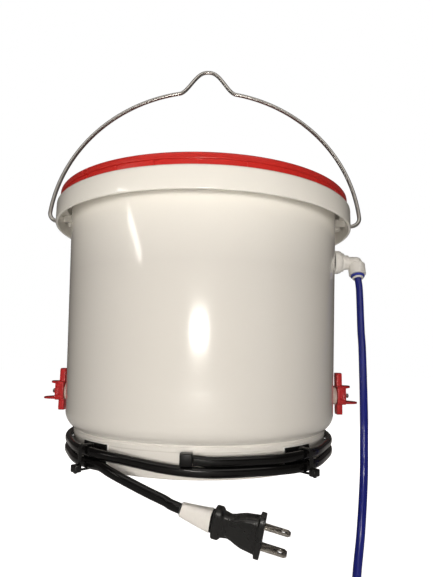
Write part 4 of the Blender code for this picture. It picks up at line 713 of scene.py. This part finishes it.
FOOT_ROUND = 15.0
lean = math.acos((109.0 - wall_at(37.5) + FOOT_ROUND) / FOOT_ROUND)
foot_height = 22.5 + FOOT_ROUND * math.sin(lean)
pail_profile = [(0, 29.0), (107.0, 29.0, 1.0), (107.0, 0, 0.8), (110.0, 0, 1.0), (110.0, 17.8, 0.5),
                (110.3, 18.4, 0.5), (110.3, 21.0, 0.7), (109.4, 22.2, 0.5)]
pail_profile += arc(wall_at(foot_height) - FOOT_ROUND, foot_height, FOOT_ROUND, 2 - math.degrees(lean), 0, 14)
pail_profile += [(wall_at(z), z) for z in (70.0, 110.0, 150.0, 190.0)]
pail_profile += [(wall_at(217.2), 217.2, 1.0), (126.8, 217.2, 1.0), (126.8, 211.3, 0.8), (133.1, 211.3, 1.2),
                 (133.1, 195.5, 0.7), (135.3, 195.5, 0.9), (135.3, 213.5, 2.2), (129.0, 213.5, 0.8),
                 (129.0, 217.3, 0.3), (129.5, 218.4, 0.5), (128.9, 219.4, 0.6),
                 (wall_at(219.4) - 2.2, 219.4, 0.9)]
pail_profile += arc(wall_at(43.5) - 14.2, 43.5, 12.0, 0, -90, 12)
pail_profile += [(0, 31.5)]
pail_white = finish("pail_white_polyethylene", "white_pail", (0.80, 0.775, 0.73), 0.15,
                    (14.0, 0.015, 0.05), Specular_IOR_Level=0.4, Coat_Weight=0.4, Coat_Roughness=0.03)
# Towards the rim the colour turns warmer and lighter: partly the thicker plastic's own tone, partly painted
# light for the protruding band standing nearer the lamp. Fine hairlines lie in the gloss.
pail_tree = pail_white.node_tree
pail_shader = pail_tree.nodes["Principled BSDF"]
pail_place = put(pail_tree, "ShaderNodeTexCoord")["Object"]
level = put(pail_tree, "ShaderNodeSeparateXYZ", {0: pail_place})["Z"]
# Mask for the lighter upper wall and band: painted light mixed with the thicker plastic's own tone.
rim_light_and_thickness = mapped(pail_tree, level, pail_foot.z + 0.150, pail_foot.z + 0.196)
thin_tint = pail_shader.inputs["Base Color"].links[0].from_socket
tint = put(pail_tree, "ShaderNodeMix", {"Factor": rim_light_and_thickness, 6: thin_tint, 7: (0.99, 0.965, 0.905, 1.0)},
           data_type="RGBA")[2]
pail_tree.links.new(tint, pail_shader.inputs["Base Color"])
surface = put(pail_tree, "ShaderNodeTexNoise", {"Vector": pail_place, "Scale": 620.0, "Detail": 2.0})[0]
for slant, fineness in ((0.10, 1500.0), (-0.16, 1150.0)):
    along_lines = put(pail_tree, "ShaderNodeMapping", {"Vector": pail_place, "Rotation": (0, slant, 0),
                                                       "Scale": (22.0, 22.0, fineness)})[0]
    hairline = put(pail_tree, "ShaderNodeTexNoise", {"Vector": along_lines, "Scale": 1.0, "Detail": 1.0})[0]
    surface = calc(pail_tree, "ADD", surface, mapped(pail_tree, hairline, 0.7, 0.76, 0.0, 2.2))
scuffed = put(pail_tree, "ShaderNodeBump", {"Height": surface, "Strength": 1.0, "Distance": 0.011 * MM})[0]
pail_tree.links.new(scuffed, pail_shader.inputs["Normal"])
holes = [cylinder(5.5, 108, 132, axis="X", place=(0, 0, DRINKER_HEIGHT)),
         cylinder(5.5, -132, -108, axis="X", place=(0, 0, DRINKER_HEIGHT)),
         cylinder(6.8, 108, 132, axis="X", place=(0, 0, FILL_HEIGHT)),
         cylinder(2.3, 130, 140, 32, "X", (0, 0, BAIL_HEIGHT)),
         cylinder(2.3, -140, -130, 32, "X", (0, 0, BAIL_HEIGHT)),
         soft_box((-9.2, -113, 11.6), (-1.8, -104, 18.4), 0.4)]
pail_parts = [cut_out(turned_mesh("pail", pail_profile, 192, pail_white), *holes)]
for side in (-1, 1):
    near, far = sorted((side * 120.6, side * 133.9))
    pail_parts += [soft_box((near, edge, 205.5), (far, edge + 2.0, 212.6), 0.4) for edge in (-9.0, 7.0)]
    near, far = sorted((side * 121.0, side * 128.6))
    pail_parts.append(soft_box((near, -7.4, 203.4), (far, 7.4, 205.6), 0.5))
for i in range(4):
    pail_parts.append(cylinder(4.5, 5.3, 29.4, 32, place=around(90 * (i + 0.5), BOSS_CIRCLE, 0)))
piece("pail_moulding", joined_shapes(*pail_parts), "bucket", pail_white, sharp=40.0)


# Lid.
# Red press-on lid. Its skirt hooks over the pail's collar and is slit by small notches so that it springs,
# and its middle is sunk below a flat rim and stiffened by two rings.
notched, at, lid_skin = ring_tree("notched_lid", BLOCK_SOCKETS)
lid_cut = put(notched, "MeshBoolean", {0: lid_skin, 1: blocks_round(notched, at)},
              operation="DIFFERENCE", solver="EXACT")[0]
close_tree(notched, lid_cut, at["Material"])
lid_red = finish("lid_red_plastic", "red_lid", (0.62, 0.028, 0.022), 0.3, (25.0, 0.06, 0.15),
                 (800.0, 0.02))
lid_profile = [(0, 217.0), (118.2, 217.0, 0.6), (118.2, 215.8, 0.4), (120.2, 215.8, 0.5),
               (120.4, 221.3, 0.4), (129.9, 221.3, 0.6), (129.9, 213.8, 0.4), (131.1, 213.8, 0.4),
               (131.1, 218.2, 0.1), (132.5, 218.4, 0.4), (132.5, 223.1, 1.3), (128.0, 223.1),
               (116.1, 223.1, 1.2), (112.0, 219.0, 1.2), (64.0, 219.0, 0.4), (63.4, 219.6, 0.3),
               (61.6, 219.6, 0.3), (61.0, 219.0, 0.4), (0, 219.0)]
lid_mesh = turned_mesh("lid", lid_profile, 208, lid_red, notched, Count=26, Circle_Radius=133.1,
                       Block_Length=5.6, Block_Width=3.6, Block_Height=8.6, Block_Level=213.8)
piece("lid_moulding", lid_mesh, "lid", lid_red, body="lid", sharp=40.0)
gasket_black = finish("gasket_black_rubber", "black_rubber", 0.02, 0.6, (200.0, 0.3, 0.15),
                      (1500.0, 0.04))
gasket_profile = [(122.4, 219.7, 0.4), (126.9, 219.7, 0.4), (126.9, 221.0, 0.4), (122.4, 221.0, 0.4)]
piece("lid_gasket_ring", turned_mesh("gasket", gasket_profile, 144, gasket_black), "lid_gasket",
      gasket_black, body="lid")


# Bail.
# One length of bright steel wire, bent to a half circle with a hump at its top for the hook. Its ends turn
# inwards through the band and the pail hangs from them.
BAIL_RADIUS, HUMP_HALF, HUMP_RISE, BAIL_BEND = 150.0, 29.5, 24.0, 9.0


def bail_height(x):
    hump = math.cos(min(1.0, (abs(x) / HUMP_HALF) ** 1.2) * math.pi / 2) ** 2
    return math.sqrt(BAIL_RADIUS ** 2 - x ** 2) + HUMP_RISE * hump


foot_turn = math.degrees(math.asin(BAIL_BEND / BAIL_RADIUS))
hump_turn = math.degrees(math.acos(HUMP_HALF / BAIL_RADIUS))
bend_x = BAIL_RADIUS * math.cos(math.radians(foot_turn)) - BAIL_BEND
bail_half = [(wall_at(BAIL_HEIGHT) + 2.5, 0.0), (130.0, 0.0)]
bail_half += arc(bend_x, BAIL_BEND, BAIL_BEND, -90, 0, 12)
bail_half += arc(0, 0, BAIL_RADIUS, foot_turn, hump_turn, 150)[1:]
bail_half += [(x, bail_height(x)) for x in (HUMP_HALF * (1 - i / 60) for i in range(1, 61))]
bail_line = [(x, 0, z) for x, z in bail_half] + [(-x, 0, z) for x, z in reversed(bail_half[:-1])]
bail_steel = finish("bail_bright_wire", "bail_steel", (0.62, 0.6, 0.57), 0.3, (12.0, 0.05, 0.1),
                    metallic=1.0)
bail_mesh = grown("bail", line_mesh("bail_path", bail_line), bent_wire, bail_steel, Radius=1.9, Sides=24)
piece("bail_wire_bent", bail_mesh, "bail_wire", bail_steel, shift(0, 0, BAIL_HEIGHT) @ turn(-8.0, "X"),
      body="bail")


# Drinkers.
# A red moulded body on each side: a tall back plate, a block with a hood above and a drip tray below, and a
# stainless pin that birds push. Its threaded shank goes through the wall into a nut, on a soft washer.
drinker_red = finish("drinker_red_plastic", "red_drinker", (0.5, 0.02, 0.022), 0.34, (120.0, 0.12, 0.2),
                     (900.0, 0.03))
washer_pale = finish("washer_soft_rubber", "pale_rubber", (0.55, 0.43, 0.38), 0.55, (180.0, 0.1, 0.2),
                     (1200.0, 0.03))
pin_steel = finish("pin_stainless", "stainless_pin", (0.6, 0.59, 0.57), 0.16, (300.0, 0.1, 0.3),
                   (1500.0, 0.01), metallic=1.0)
facing_out = Matrix(((0, 0, 1, 0), (1, 0, 0, 0), (0, 1, 0, 0), (0, 0, 0, 1)))


def lip(start, tip, width, depth, thick, thin, upturn, low):
    """A lip along X with a rounded tip, thinner and higher towards it."""
    stations, rises = [], []
    for i in range(19):
        x = start + (tip - start) * math.sin(math.pi / 2 * i / 18)
        share = (x - start) / (tip - start)
        narrow = math.sqrt(max(0.0, 1 - max(0.0, (x - (tip - depth)) / depth) ** 2))
        full = thick + (thin - thick) * share
        edge = max(0.25, min(1.0, (tip - x) / 0.8 + 0.25))
        stations.append((x, full * edge, max(0.6, width * narrow)))
        rises.append((x, upturn * share ** 2 + full * (1 - edge) / 2 + full * edge / 2))
    shape = loft(stations, 32, 5.0)
    for vert in shape.verts:
        vert.co = Vector((vert.co.x, vert.co.z, low + between(rises, vert.co.x)[0] + vert.co.y))
    return shape


def lathe(profile, steps=48):
    """A body of revolution about Z of a closed profile."""
    shape = bmesh.new()
    rings = []
    turns = [math.tau * i / steps for i in range(steps)]
    for r, z in soft_corners(profile):
        if r < 1e-6:
            rings.append([shape.verts.new((0, 0, z))] * steps)
        else:
            rings.append([shape.verts.new((r * math.cos(a), r * math.sin(a), z)) for a in turns])
    for low, high in zip(rings, rings[1:] + rings[:1]):
        for i in range(steps):
            j = (i + 1) % steps
            corners = list(dict.fromkeys((low[i], low[j], high[j], high[i])))
            if len(corners) > 2:
                shape.faces.new(corners)
    return shape


def turned_about_x(profile, steps=48):
    shape = lathe(profile, steps)
    shape.transform(turn(90, "Y"))
    return shape


def threaded(inner, radius, low, high, pitch, depth):
    """The profile of a hollow shank whose outside carries ridges."""
    root = radius - depth
    profile = [(inner, low), (root, low)]
    z = low + 0.8
    while z < high - pitch:
        profile += [(root, z), (radius, z + 0.35 * pitch), (radius, z + 0.5 * pitch),
                    (root, z + 0.85 * pitch)]
        z += pitch
    return profile + [(root, high), (inner, high)]


def slab(outline, hole, back, front, soft):
    """A plate with a round hole that stands across X from a back to a front face."""
    mesh = plate([outline, hole], front - back, soft)
    mesh.transform(shift((back + front) / 2) @ facing_out)
    return mesh


PLATE_BACK, PLATE_FACE, BLOCK_FACE = 5.6, 10.6, 13.1
pin_profile = [(0, -2.86), (3.3, -2.86, 0.5), (3.3, -1.36, 0.15), (2.0, -1.36, 0.1), (2.0, 15.2, 0.2),
               (1.75, 15.5, 0.15), (1.75, 15.7, 0.15), (2.0, 16.0, 0.15), (2.0, 17.4, 0.9), (0, 17.4)]
for side, name in ((-1, "left"), (1, "right")):
    place = shift(side * wall_at(DRINKER_HEIGHT), 0, DRINKER_HEIGHT) @ turn(0 if side > 0 else 180, "Z")
    back = slab(rounded_loop(-5.0, 5.0, -16.8, 20.5, 2.0, 5), circle_line(3.9), PLATE_BACK, PLATE_FACE, 0.5)
    block = slab(rounded_loop(-9.0, 9.0, -7.6, 8.5, 2.0, 5), circle_line(3.1), PLATE_BACK, BLOCK_FACE, 0.45)
    windows = [soft_box((7.0, edge - 1.4, -3.0), (11.9, edge + 1.4, 4.5), 0.35, 2) for edge in (-9.0, 9.0)]
    hood = lip(8.0, PLATE_FACE + 8.0, 15.0, 4.8, 3.2, 1.9, 0.9, 6.4)
    tray = lip(8.0, PLATE_FACE + 14.4, 15.0, 7.5, 3.2, 1.7, 0.3, -7.2)
    ring = turned_about_x([(3.1, BLOCK_FACE - 0.4), (4.9, BLOCK_FACE - 0.4), (4.6, BLOCK_FACE + 0.6),
                           (4.3, BLOCK_FACE + 0.8), (3.3, BLOCK_FACE + 0.8), (3.1, BLOCK_FACE + 0.5)])
    shank = turned_about_x(threaded(3.9, 5.2, -15.0, 7.0, 1.4, 0.45))
    body = joined_shapes(back, cut_out(block, *windows), hood, tray, ring, shank)
    piece(f"drinker_{name}", body, f"nipple_body_{name}", drinker_red, place, sharp=42.0)
    soft_ring = turned_about_x([(5.5, 0.5, 0.3), (8.0, 0.5, 0.6), (8.0, 5.3, 0.6), (5.5, 5.3, 0.3)])
    piece(f"drinker_washer_{name}", soft_ring, f"nipple_gasket_{name}", washer_pale, place)
    nut = slab(circle_line(9.0, 6), circle_line(5.5), -8.28, -3.28, 0.4)
    piece(f"drinker_nut_{name}", nut, f"nipple_nut_{name}", drinker_red, place)
    seat = turned_about_x([(2.5, -1.0, 0.25), (3.6, -1.0, 0.2), (3.6, 0.0, 0.2), (2.5, 0.0, 0.25)])
    piece(f"drinker_seat_{name}", seat, f"nipple_seal_{name}", gasket_black, place)
    piece(f"drinker_pin_{name}", turned_about_x(pin_profile, 40), f"nipple_pin_{name}", pin_steel, place,
          body=f"pin_{name}")


# Fill fitting.
# White acetal: a domed bulkhead flange, a push-in elbow that swivels in it, and a release collet under a
# blue locking clip. The tube is pushed in from below.
fitting_white = finish("fitting_white_acetal", "white_fitting", (0.82, 0.8, 0.76), 0.3,
                       (150.0, 0.03, 0.2), (900.0, 0.015))
bulkhead_profile = threaded(2.0, 6.5, -16.0, 0.6, 1.5, 0.5)[:-2]
bulkhead_profile += [(6.2, 2.25), (10.5, 2.25, 0.4), (11.0, 3.1, 0.4), (11.0, 6.2, 0.8), (10.4, 8.4, 1.0),
                     (9.2, 9.65, 0.7), (8.8, 9.65, 0.2), (8.8, 11.5, 0.4), (6.9, 11.5, 0.3),
                     (6.9, 16.1, 0.5), (3.3, 16.1, 0.2), (3.3, 6.8, 0.1), (2.0, 6.8)]
piece("fill_flange", turned_about_x(bulkhead_profile, 64), "fill_bulkhead", fitting_white, fill_point,
      sharp=38.0)
fill_ring = turned_about_x([(6.8, 0.45, 0.3), (10.0, 0.45, 0.4), (10.0, 1.95, 0.4), (6.8, 1.95, 0.3)])
piece("fill_washer", fill_ring, "fill_gasket", gasket_black, fill_point)
fill_nut = slab(circle_line(10.0, 6), circle_line(6.8), -7.95, -2.95, 0.4)
piece("fill_nut_moulded", fill_nut, "fill_nut", fitting_white, fill_point)

stem = turned_about_x([(1.6, 7.1), (3.0, 7.1, 0.3), (3.0, 16.4), (5.5, 16.4, 0.5), (5.5, 23.0), (1.6, 23.0)])
knee = bmesh.new()
bmesh.ops.create_uvsphere(knee, u_segments=40, v_segments=24, radius=5.5)
knee.transform(shift(23.95))
socket = lathe([(0, 0.5), (5.4, 0.5), (5.4, 1.5, 0.2), (7.2, 1.5, 0.8), (7.8, 2.6, 0.5), (7.8, 12.7, 0.5),
                (7.5, 13.0, 0.2), (4.7, 13.0, 0.3), (4.7, 4.2, 0.1), (0, 4.2)], 56)
socket.transform(elbow_turn)
piece("fill_elbow_moulded", joined_shapes(stem, knee, socket), "fill_elbow", fitting_white, fill_point,
      sharp=42.0)
collet = lathe([(3.48, 5.3), (4.37, 5.3, 0.2), (4.37, 15.6, 0.1), (5.1, 15.6, 0.2), (5.1, 17.0, 0.5),
                (3.48, 17.0, 0.3)])
piece("elbow_collet_ring", collet, "elbow_collet", fitting_white, elbow_axis)
clip_blue = finish("clip_blue_plastic", "blue_clip", (0.02, 0.035, 0.33), 0.4, (150.0, 0.15, 0.2),
                   (1000.0, 0.03))
CLIP_INNER, CLIP_OUTER = 4.67, 6.3
clip_open = math.degrees(math.asin(CLIP_INNER / CLIP_OUTER))
clip_outline = arc(0, 0, CLIP_OUTER, clip_open - 90, 270 - clip_open, 44)
clip_outline += [(-CLIP_INNER, -4.2), *arc(0, 0, CLIP_INNER, 180, 0, 24), (CLIP_INNER, -4.2)]
piece("elbow_locking_clip", plate([clip_outline], 2.0, 0.3), "elbow_clip", clip_blue,
      elbow_axis @ shift(0, 0, 14.3), body="clip")


# Float valve.
# White acetal inside the pail: a valve block on the bulkhead's shank, an arm on a steel pin between two
# cheeks, and a hollow float that shuts the water off as it rises.
HINGE_X, HINGE_BORE = -38.8, 1.5
valve_shapes = [soft_box((-33.3, -8.0, -8.0), (-16.3, 8.0, 8.0), 1.2),
                soft_box((-30.5, -6.2, 7.6), (-19.0, 6.2, 8.0), 0.15, 1),
                soft_box((-43.3, -8.0, -4.0), (-31.0, -5.4, 4.0), 0.7),
                soft_box((-43.3, 5.4, -4.0), (-31.0, 8.0, 4.0), 0.7)]
valve_shapes = [cut_out(shape, cylinder(HINGE_BORE, -12, 12, 32, "Y", (HINGE_X, 0, 0)))
                for shape in valve_shapes]
spout = turned_about_x([(0.9, -17.0), (1.7, -17.0), (1.7, -10.3, 0.3), (0.9, -10.3, 0.2)], 32)
hinge = fill_point @ shift(HINGE_X)
arm_place = hinge @ turn(-20.0, "Y")
hinge_pin = lathe([(0, -9.0), (1.2, -9.0, 0.3), (1.2, 9.0, 0.3), (0, 9.0)], 32)
arm_eye = cut_out(cylinder(3.2, -4.8, 4.8, 40, "Y"), cylinder(HINGE_BORE, -6, 6, 32, "Y"))
rail = soft_box((-46.0, -2.6, -1.9), (-2.6, 2.6, 1.9), 0.5)
float_shape = lathe([(0, -14.0), (14.0, -14.0, 2.0), (17.0, -11.0, 2.0), (17.0, -0.7, 0.2), (17.3, -0.5, 0.1),
                     (17.3, 0.5, 0.1), (17.0, 0.7, 0.2), (17.0, 11.0, 2.0), (14.0, 14.0, 2.0), (0, 14.0)], 72)
float_shape.transform(shift(-54.3))
float_skin = cut_out(float_shape, soft_box((-46.3, -2.94, -2.22), (1.0, 2.94, 2.22), 0.1, 1))
piece("float_valve_block", joined_shapes(*valve_shapes, spout), "float_valve", fitting_white, fill_point)
piece("float_hinge_pin", hinge_pin, "float_pin", pin_steel, hinge @ turn(90, "X"))
piece("float_arm_lever", joined_shapes(arm_eye, rail), "float_arm", fitting_white, arm_place,
      body="float")
piece("float_hollow", float_skin, "float_ball", fitting_white, arm_place, body="float")


# Cord outlet.
# Black nylon block that brings the supply cord out of the base ring sideways: a body with soft edges and a
# parting line outside, a neck through the ring and a flange behind it.
outlet_nylon = finish("outlet_black_nylon", "black_nylon", 0.004, 0.3, (150.0, 0.3, 0.2), (1100.0, 0.03),
                      Specular_IOR_Level=0.25)
outlet = joined_shapes(soft_box((-9.8, -118.5, 11.0), (-1.2, -110.5, 19.0), 0.7),
                       soft_box((-9.9, -115.0, 10.95), (-1.2, -114.6, 19.05), 0.1, 1),
                       soft_box((-8.9, -111.0, 11.9), (-2.1, -105.8, 18.1), 0.4),
                       soft_box((-11.0, -106.1, 9.8), (0.0, -103.9, 20.2), 0.5))
piece("cord_outlet_block", outlet, "cord_outlet", outlet_nylon)


# Tie mounts, foam pads and cable ties.
# Two black nylon mounts, 28 by 19 mm, stuck to the base ring on white foam. A cable tie goes through each
# mount's saddle and round both turns of the cord, with its head and cut tail below.
RING_RADIUS, MOUNT_MIDDLE = 110.2, 10.1


def wrapped(shape, azimuth):
    """A flat shape, x across, y up and z outwards, bent round the base ring."""
    for i in range(1, 24):
        bmesh.ops.bisect_plane(shape, geom=shape.verts[:] + shape.edges[:] + shape.faces[:],
                               plane_co=(-15.0 + 30.0 * i / 24, 0, 0), plane_no=(1, 0, 0))
    for vert in shape.verts:
        x, y, z = vert.co
        vert.co = around(azimuth + math.degrees(x / RING_RADIUS), RING_RADIUS + z, y)
    return shape


foam_white = finish("mount_foam", "white_foam", (0.86, 0.86, 0.83), 0.85, (500.0, 0.08, 0.1),
                    (2200.0, 0.12))
for side, name in ((-1, "left"), (1, "right")):
    azimuth = side * TIE_AZIMUTH
    outwards = turn(azimuth - 90, "Z")
    foam = soft_box((-14.0, MOUNT_MIDDLE - 9.5, 0.3), (14.0, MOUNT_MIDDLE + 9.5, 1.3), 0.2, 2)
    piece(f"mount_foam_{name}", wrapped(foam, azimuth), f"foam_pad_{name}", foam_white)
    base = soft_box((-13.5, MOUNT_MIDDLE - 9.0, 1.6), (13.5, MOUNT_MIDDLE + 9.0, 2.8), 0.4)
    saddle = soft_box((112.2, -3.6, MOUNT_MIDDLE - 5.0), (115.52, 3.6, MOUNT_MIDDLE + 5.0), 0.7)
    saddle = cut_out(saddle, soft_box((112.82, -2.0, -2.0), (114.52, 2.0, 24.0), 0.1, 1))
    saddle.transform(outwards)
    piece(f"tie_mount_{name}_moulding", joined_shapes(wrapped(base, azimuth), saddle),
          f"tie_mount_{name}", outlet_nylon)
    loop = strap(rounded_loop(113.7, 124.25, 1.65, 18.55, 2.2), 3.4)
    tail = strap([(127.3, v) for v in (5.0, 3.4, 1.6, 0.0)], 3.4, closed=False)
    head = cut_out(soft_box((124.2, 0.6, -3.4), (129.3, 5.7, 3.4), 0.8),
                   soft_box((126.5, -1.6, -1.9), (128.1, 8.4, 1.9), 0.1, 1))
    piece(f"cable_tie_{name}_strap", joined_shapes(loop, tail, head), f"cable_tie_{name}", tie_nylon,
          outwards @ turn(90, "X"))


# Bottom cover and its screws.
# A black nylon disc closes the heater space, stiffened by a hub ring, an outer ring and radial ribs, and
# held by four cross-head screws in bosses of the pail.
cover_profile = [(0, 2.6), (22.0, 2.6), (22.0, 1.6, 0.3), (24.0, 1.6, 0.3), (24.0, 2.6), (98.0, 2.6),
                 (98.0, 1.6, 0.3), (100.0, 1.6, 0.3), (100.0, 2.6), (106.4, 2.6, 0.5), (106.4, 5.0, 0.5),
                 (0, 5.0)]
ribbed, at, disc = ring_tree("ribbed_cover", BLOCK_SOCKETS)
close_tree(ribbed, both(ribbed, disc, blocks_round(ribbed, at)), at["Material"])
cover = turned_mesh("cover", cover_profile, 160, outlet_nylon, ribbed, Count=24, Circle_Radius=61.0,
                    Block_Length=75.5, Block_Width=1.6, Block_Height=1.2, Block_Level=2.2)
piece("bottom_cover_ribbed", cover, "bottom_cover", outlet_nylon)

screw_profile = [(0, 0.8), (2.6, 0.8, 0.7), (3.4, 1.5, 0.4), (3.4, 2.3, 0.15), (1.2, 2.3)]
for thread in range(3, 12):
    screw_profile += [(1.15, thread), (1.5, thread + 0.45), (1.15, thread + 0.9)]
screw_profile += [(1.0, 12.4), (0, 13.3)]
screw_mesh = cut_out(lathe(screw_profile, 32), soft_box((-1.9, -0.4, -1.0), (1.9, 0.4, 1.7), 0.1, 1),
                     soft_box((-0.4, -1.9, -1.0), (0.4, 1.9, 1.7), 0.1, 1))
ringed, at = new_tree("ring_of_screws", [("Count", "Int", 4), ("Circle Radius", "Float", BOSS_CIRCLE)])
close_tree(ringed, spread_round(ringed, at, at["Geometry"]), at["Material"])
piece("cover_screws", grown("cover_screws", screw_mesh, ringed, pin_steel),
      "cover_screw_1 cover_screw_2 cover_screw_3 cover_screw_4", pin_steel)


# Heater.
# Inside the base: an aluminium spreader under the floor, a silicone mat with its heating wire bonded to it, a
# disc thermostat pressed on, a foam disc below and the lead from the cord outlet.
aluminium = finish("heater_aluminium_sheet", "heater_aluminium", (0.72, 0.72, 0.73), 0.36,
                   (40.0, 0.05, 0.3), (900.0, 0.02), metallic=1.0)
silicone = finish("heater_silicone_mat", "heater_silicone", (0.46, 0.1, 0.06), 0.62, (120.0, 0.1, 0.15),
                  (1400.0, 0.05))
lead_black = finish("heater_lead_jacket", None, 0.015, 0.4, (120.0, 0.3, 0.2), (900.0, 0.02))
spreader = turned_mesh("spreader", [(0, 27.2), (79.0, 27.2, 0.4), (79.0, 28.7, 0.4), (0, 28.7)], 144,
                       aluminium)
mat_outline = arc(0, 0, 71.0, -75, 255, 96) + arc(0, 0, 30.0, 255, -75, 96)
wire_route = []
for i, radius in enumerate((35.0, 43.0, 51.0, 59.0, 67.0)):
    first, last = (-61.25, 241.25) if i % 2 == 0 else (241.25, -61.25)
    wire_route += [(x, y, -0.95) for x, y in arc(0, 0, radius, first, last, 88)]
wire_relief = grown("mat_wire", line_mesh("mat_wire_path", wire_route), bent_wire, silicone, Radius=0.35,
                    Sides=8)
can = lathe([(0, 17.4), (8.0, 17.4, 1.0), (8.0, 24.0, 0.4), (11.0, 24.6, 0.3), (11.0, 26.9, 0.3),
             (0, 26.9)], 64)
blades = [soft_box((x - 0.4, -3.2, 12.9), (x + 0.4, 3.2, 17.9), 0.15, 1) for x in (-3.6, 3.6)]
piece("heater_spreader", spreader, "heater_plate", aluminium)
piece("heater_mat", joined_shapes(plate([mat_outline], 2.0, 0.4), wire_relief), "heater_element",
      silicone, shift(0, 0, 25.9))
piece("thermostat_can", joined_shapes(can, *blades), "thermostat", outlet_nylon)
for node, material in (("insulation_pad", foam_white), ("heater_lead", lead_black)):
    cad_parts[node].data.materials.clear()
    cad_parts[node].data.materials.append(material)


# Floor and light.
# A plain pale floor under the hanging pail. A lamp beside the lens and a wide one behind the camera light
# the front, one above gives the wire its sheen, one behind the pail its back, and a narrow strip far to
# the left is the slanting streak.
floor_mesh = bpy.data.meshes.new("floor")
floor_mesh.from_pydata([(-6, -6, 0), (6, -6, 0), (6, 6, 0), (-6, 6, 0)], [], [(0, 1, 2, 3)])
floor = linked("floor", floor_mesh)
floor.location = (0, 0, cad_box[0].z - 0.004)
floor_material = bpy.data.materials.new("floor_pale")
floor_material.use_nodes = True
floor_tree = floor_material.node_tree
floor_shader = floor_tree.nodes["Principled BSDF"]
floor_shader.inputs["Base Color"].default_value = (0.9, 0.9, 0.9, 1.0)
floor_shader.inputs["Roughness"].default_value = 0.9
floor_shader.inputs["Emission Color"].default_value = (1.0, 1.0, 1.0, 1.0)
seen = put(floor_tree, "ShaderNodeLightPath")["Is Camera Ray"]
floor_tree.links.new(seen, floor_shader.inputs["Emission Strength"])
floor.data.materials.append(floor_material)

world = bpy.data.worlds.new("surround")
world.use_nodes = True
bpy.context.scene.world = world
surround = world.node_tree
seen = put(surround, "ShaderNodeLightPath")["Is Camera Ray"]
glow = put(surround, "ShaderNodeMix", {"Factor": seen, 6: (0.065, 0.057, 0.052, 1.0),
                                       7: (1.0, 1.0, 1.0, 1.0)}, data_type="RGBA")[2]
surround.links.new(glow, surround.nodes["Background"].inputs["Color"])


def lamp(name, start, end, width, target, power, diffuse=True, glossy=True):
    """A lamp, unseen itself, that glows along a line from start to end and shines towards a target."""
    middle = (start + end) / 2
    backwards = (middle - target).normalized()
    along = (end - start) - backwards * (end - start).dot(backwards)
    along.normalize()
    data = bpy.data.lights.new(name, "AREA")
    data.shape = "RECTANGLE"
    data.size = (end - start).length
    data.size_y = width
    data.energy = power
    data.color = (1.0, 0.96, 0.9)
    light = linked(name, data)
    towards = Matrix((along, backwards.cross(along), backwards)).transposed().to_4x4()
    light.matrix_world = Matrix.Translation(middle) @ towards
    light.visible_camera = False
    light.visible_diffuse = diffuse
    light.visible_glossy = glossy


beside_lens = eye + Vector((-0.015, 0.0, 0.013))
for name, middle, half, width, aim, power, diffuse, glossy in (
        ("lens_lamp", beside_lens, 0.035, 0.022, 0.1, 0.27, True, True),
        ("lens_glint", beside_lens, 0.035, 0.022, 0.1, 0.7, False, True),
        ("room_lamp", eye + Vector((0.0, -1.6, -0.06)), 0.4, 0.5, 0.1, 21.5, True, False),
        ("ceiling_lamp", eye + Vector((0.0, -0.35, 1.0)), 0.9, 0.6, 0.3, 4.0, False, True),
        ("back_lamp", pail_foot + Vector((0.0, 1.6, 0.5)), 0.3, 0.3, 0.1, 10.0, True, False)):
    sideways = Vector((half, 0, 0))
    lamp(name, middle - sideways, middle + sideways, width, pail_foot + Vector((0, 0, aim)), power,
         diffuse, glossy)
lamp("streak_lamp", pail_foot + Vector((-0.905, -0.568, 0.425)), pail_foot + Vector((-0.781, -0.760, 0.300)),
     0.045, pail_foot + Vector((-0.046, -0.112, 0.166)), 0.45)
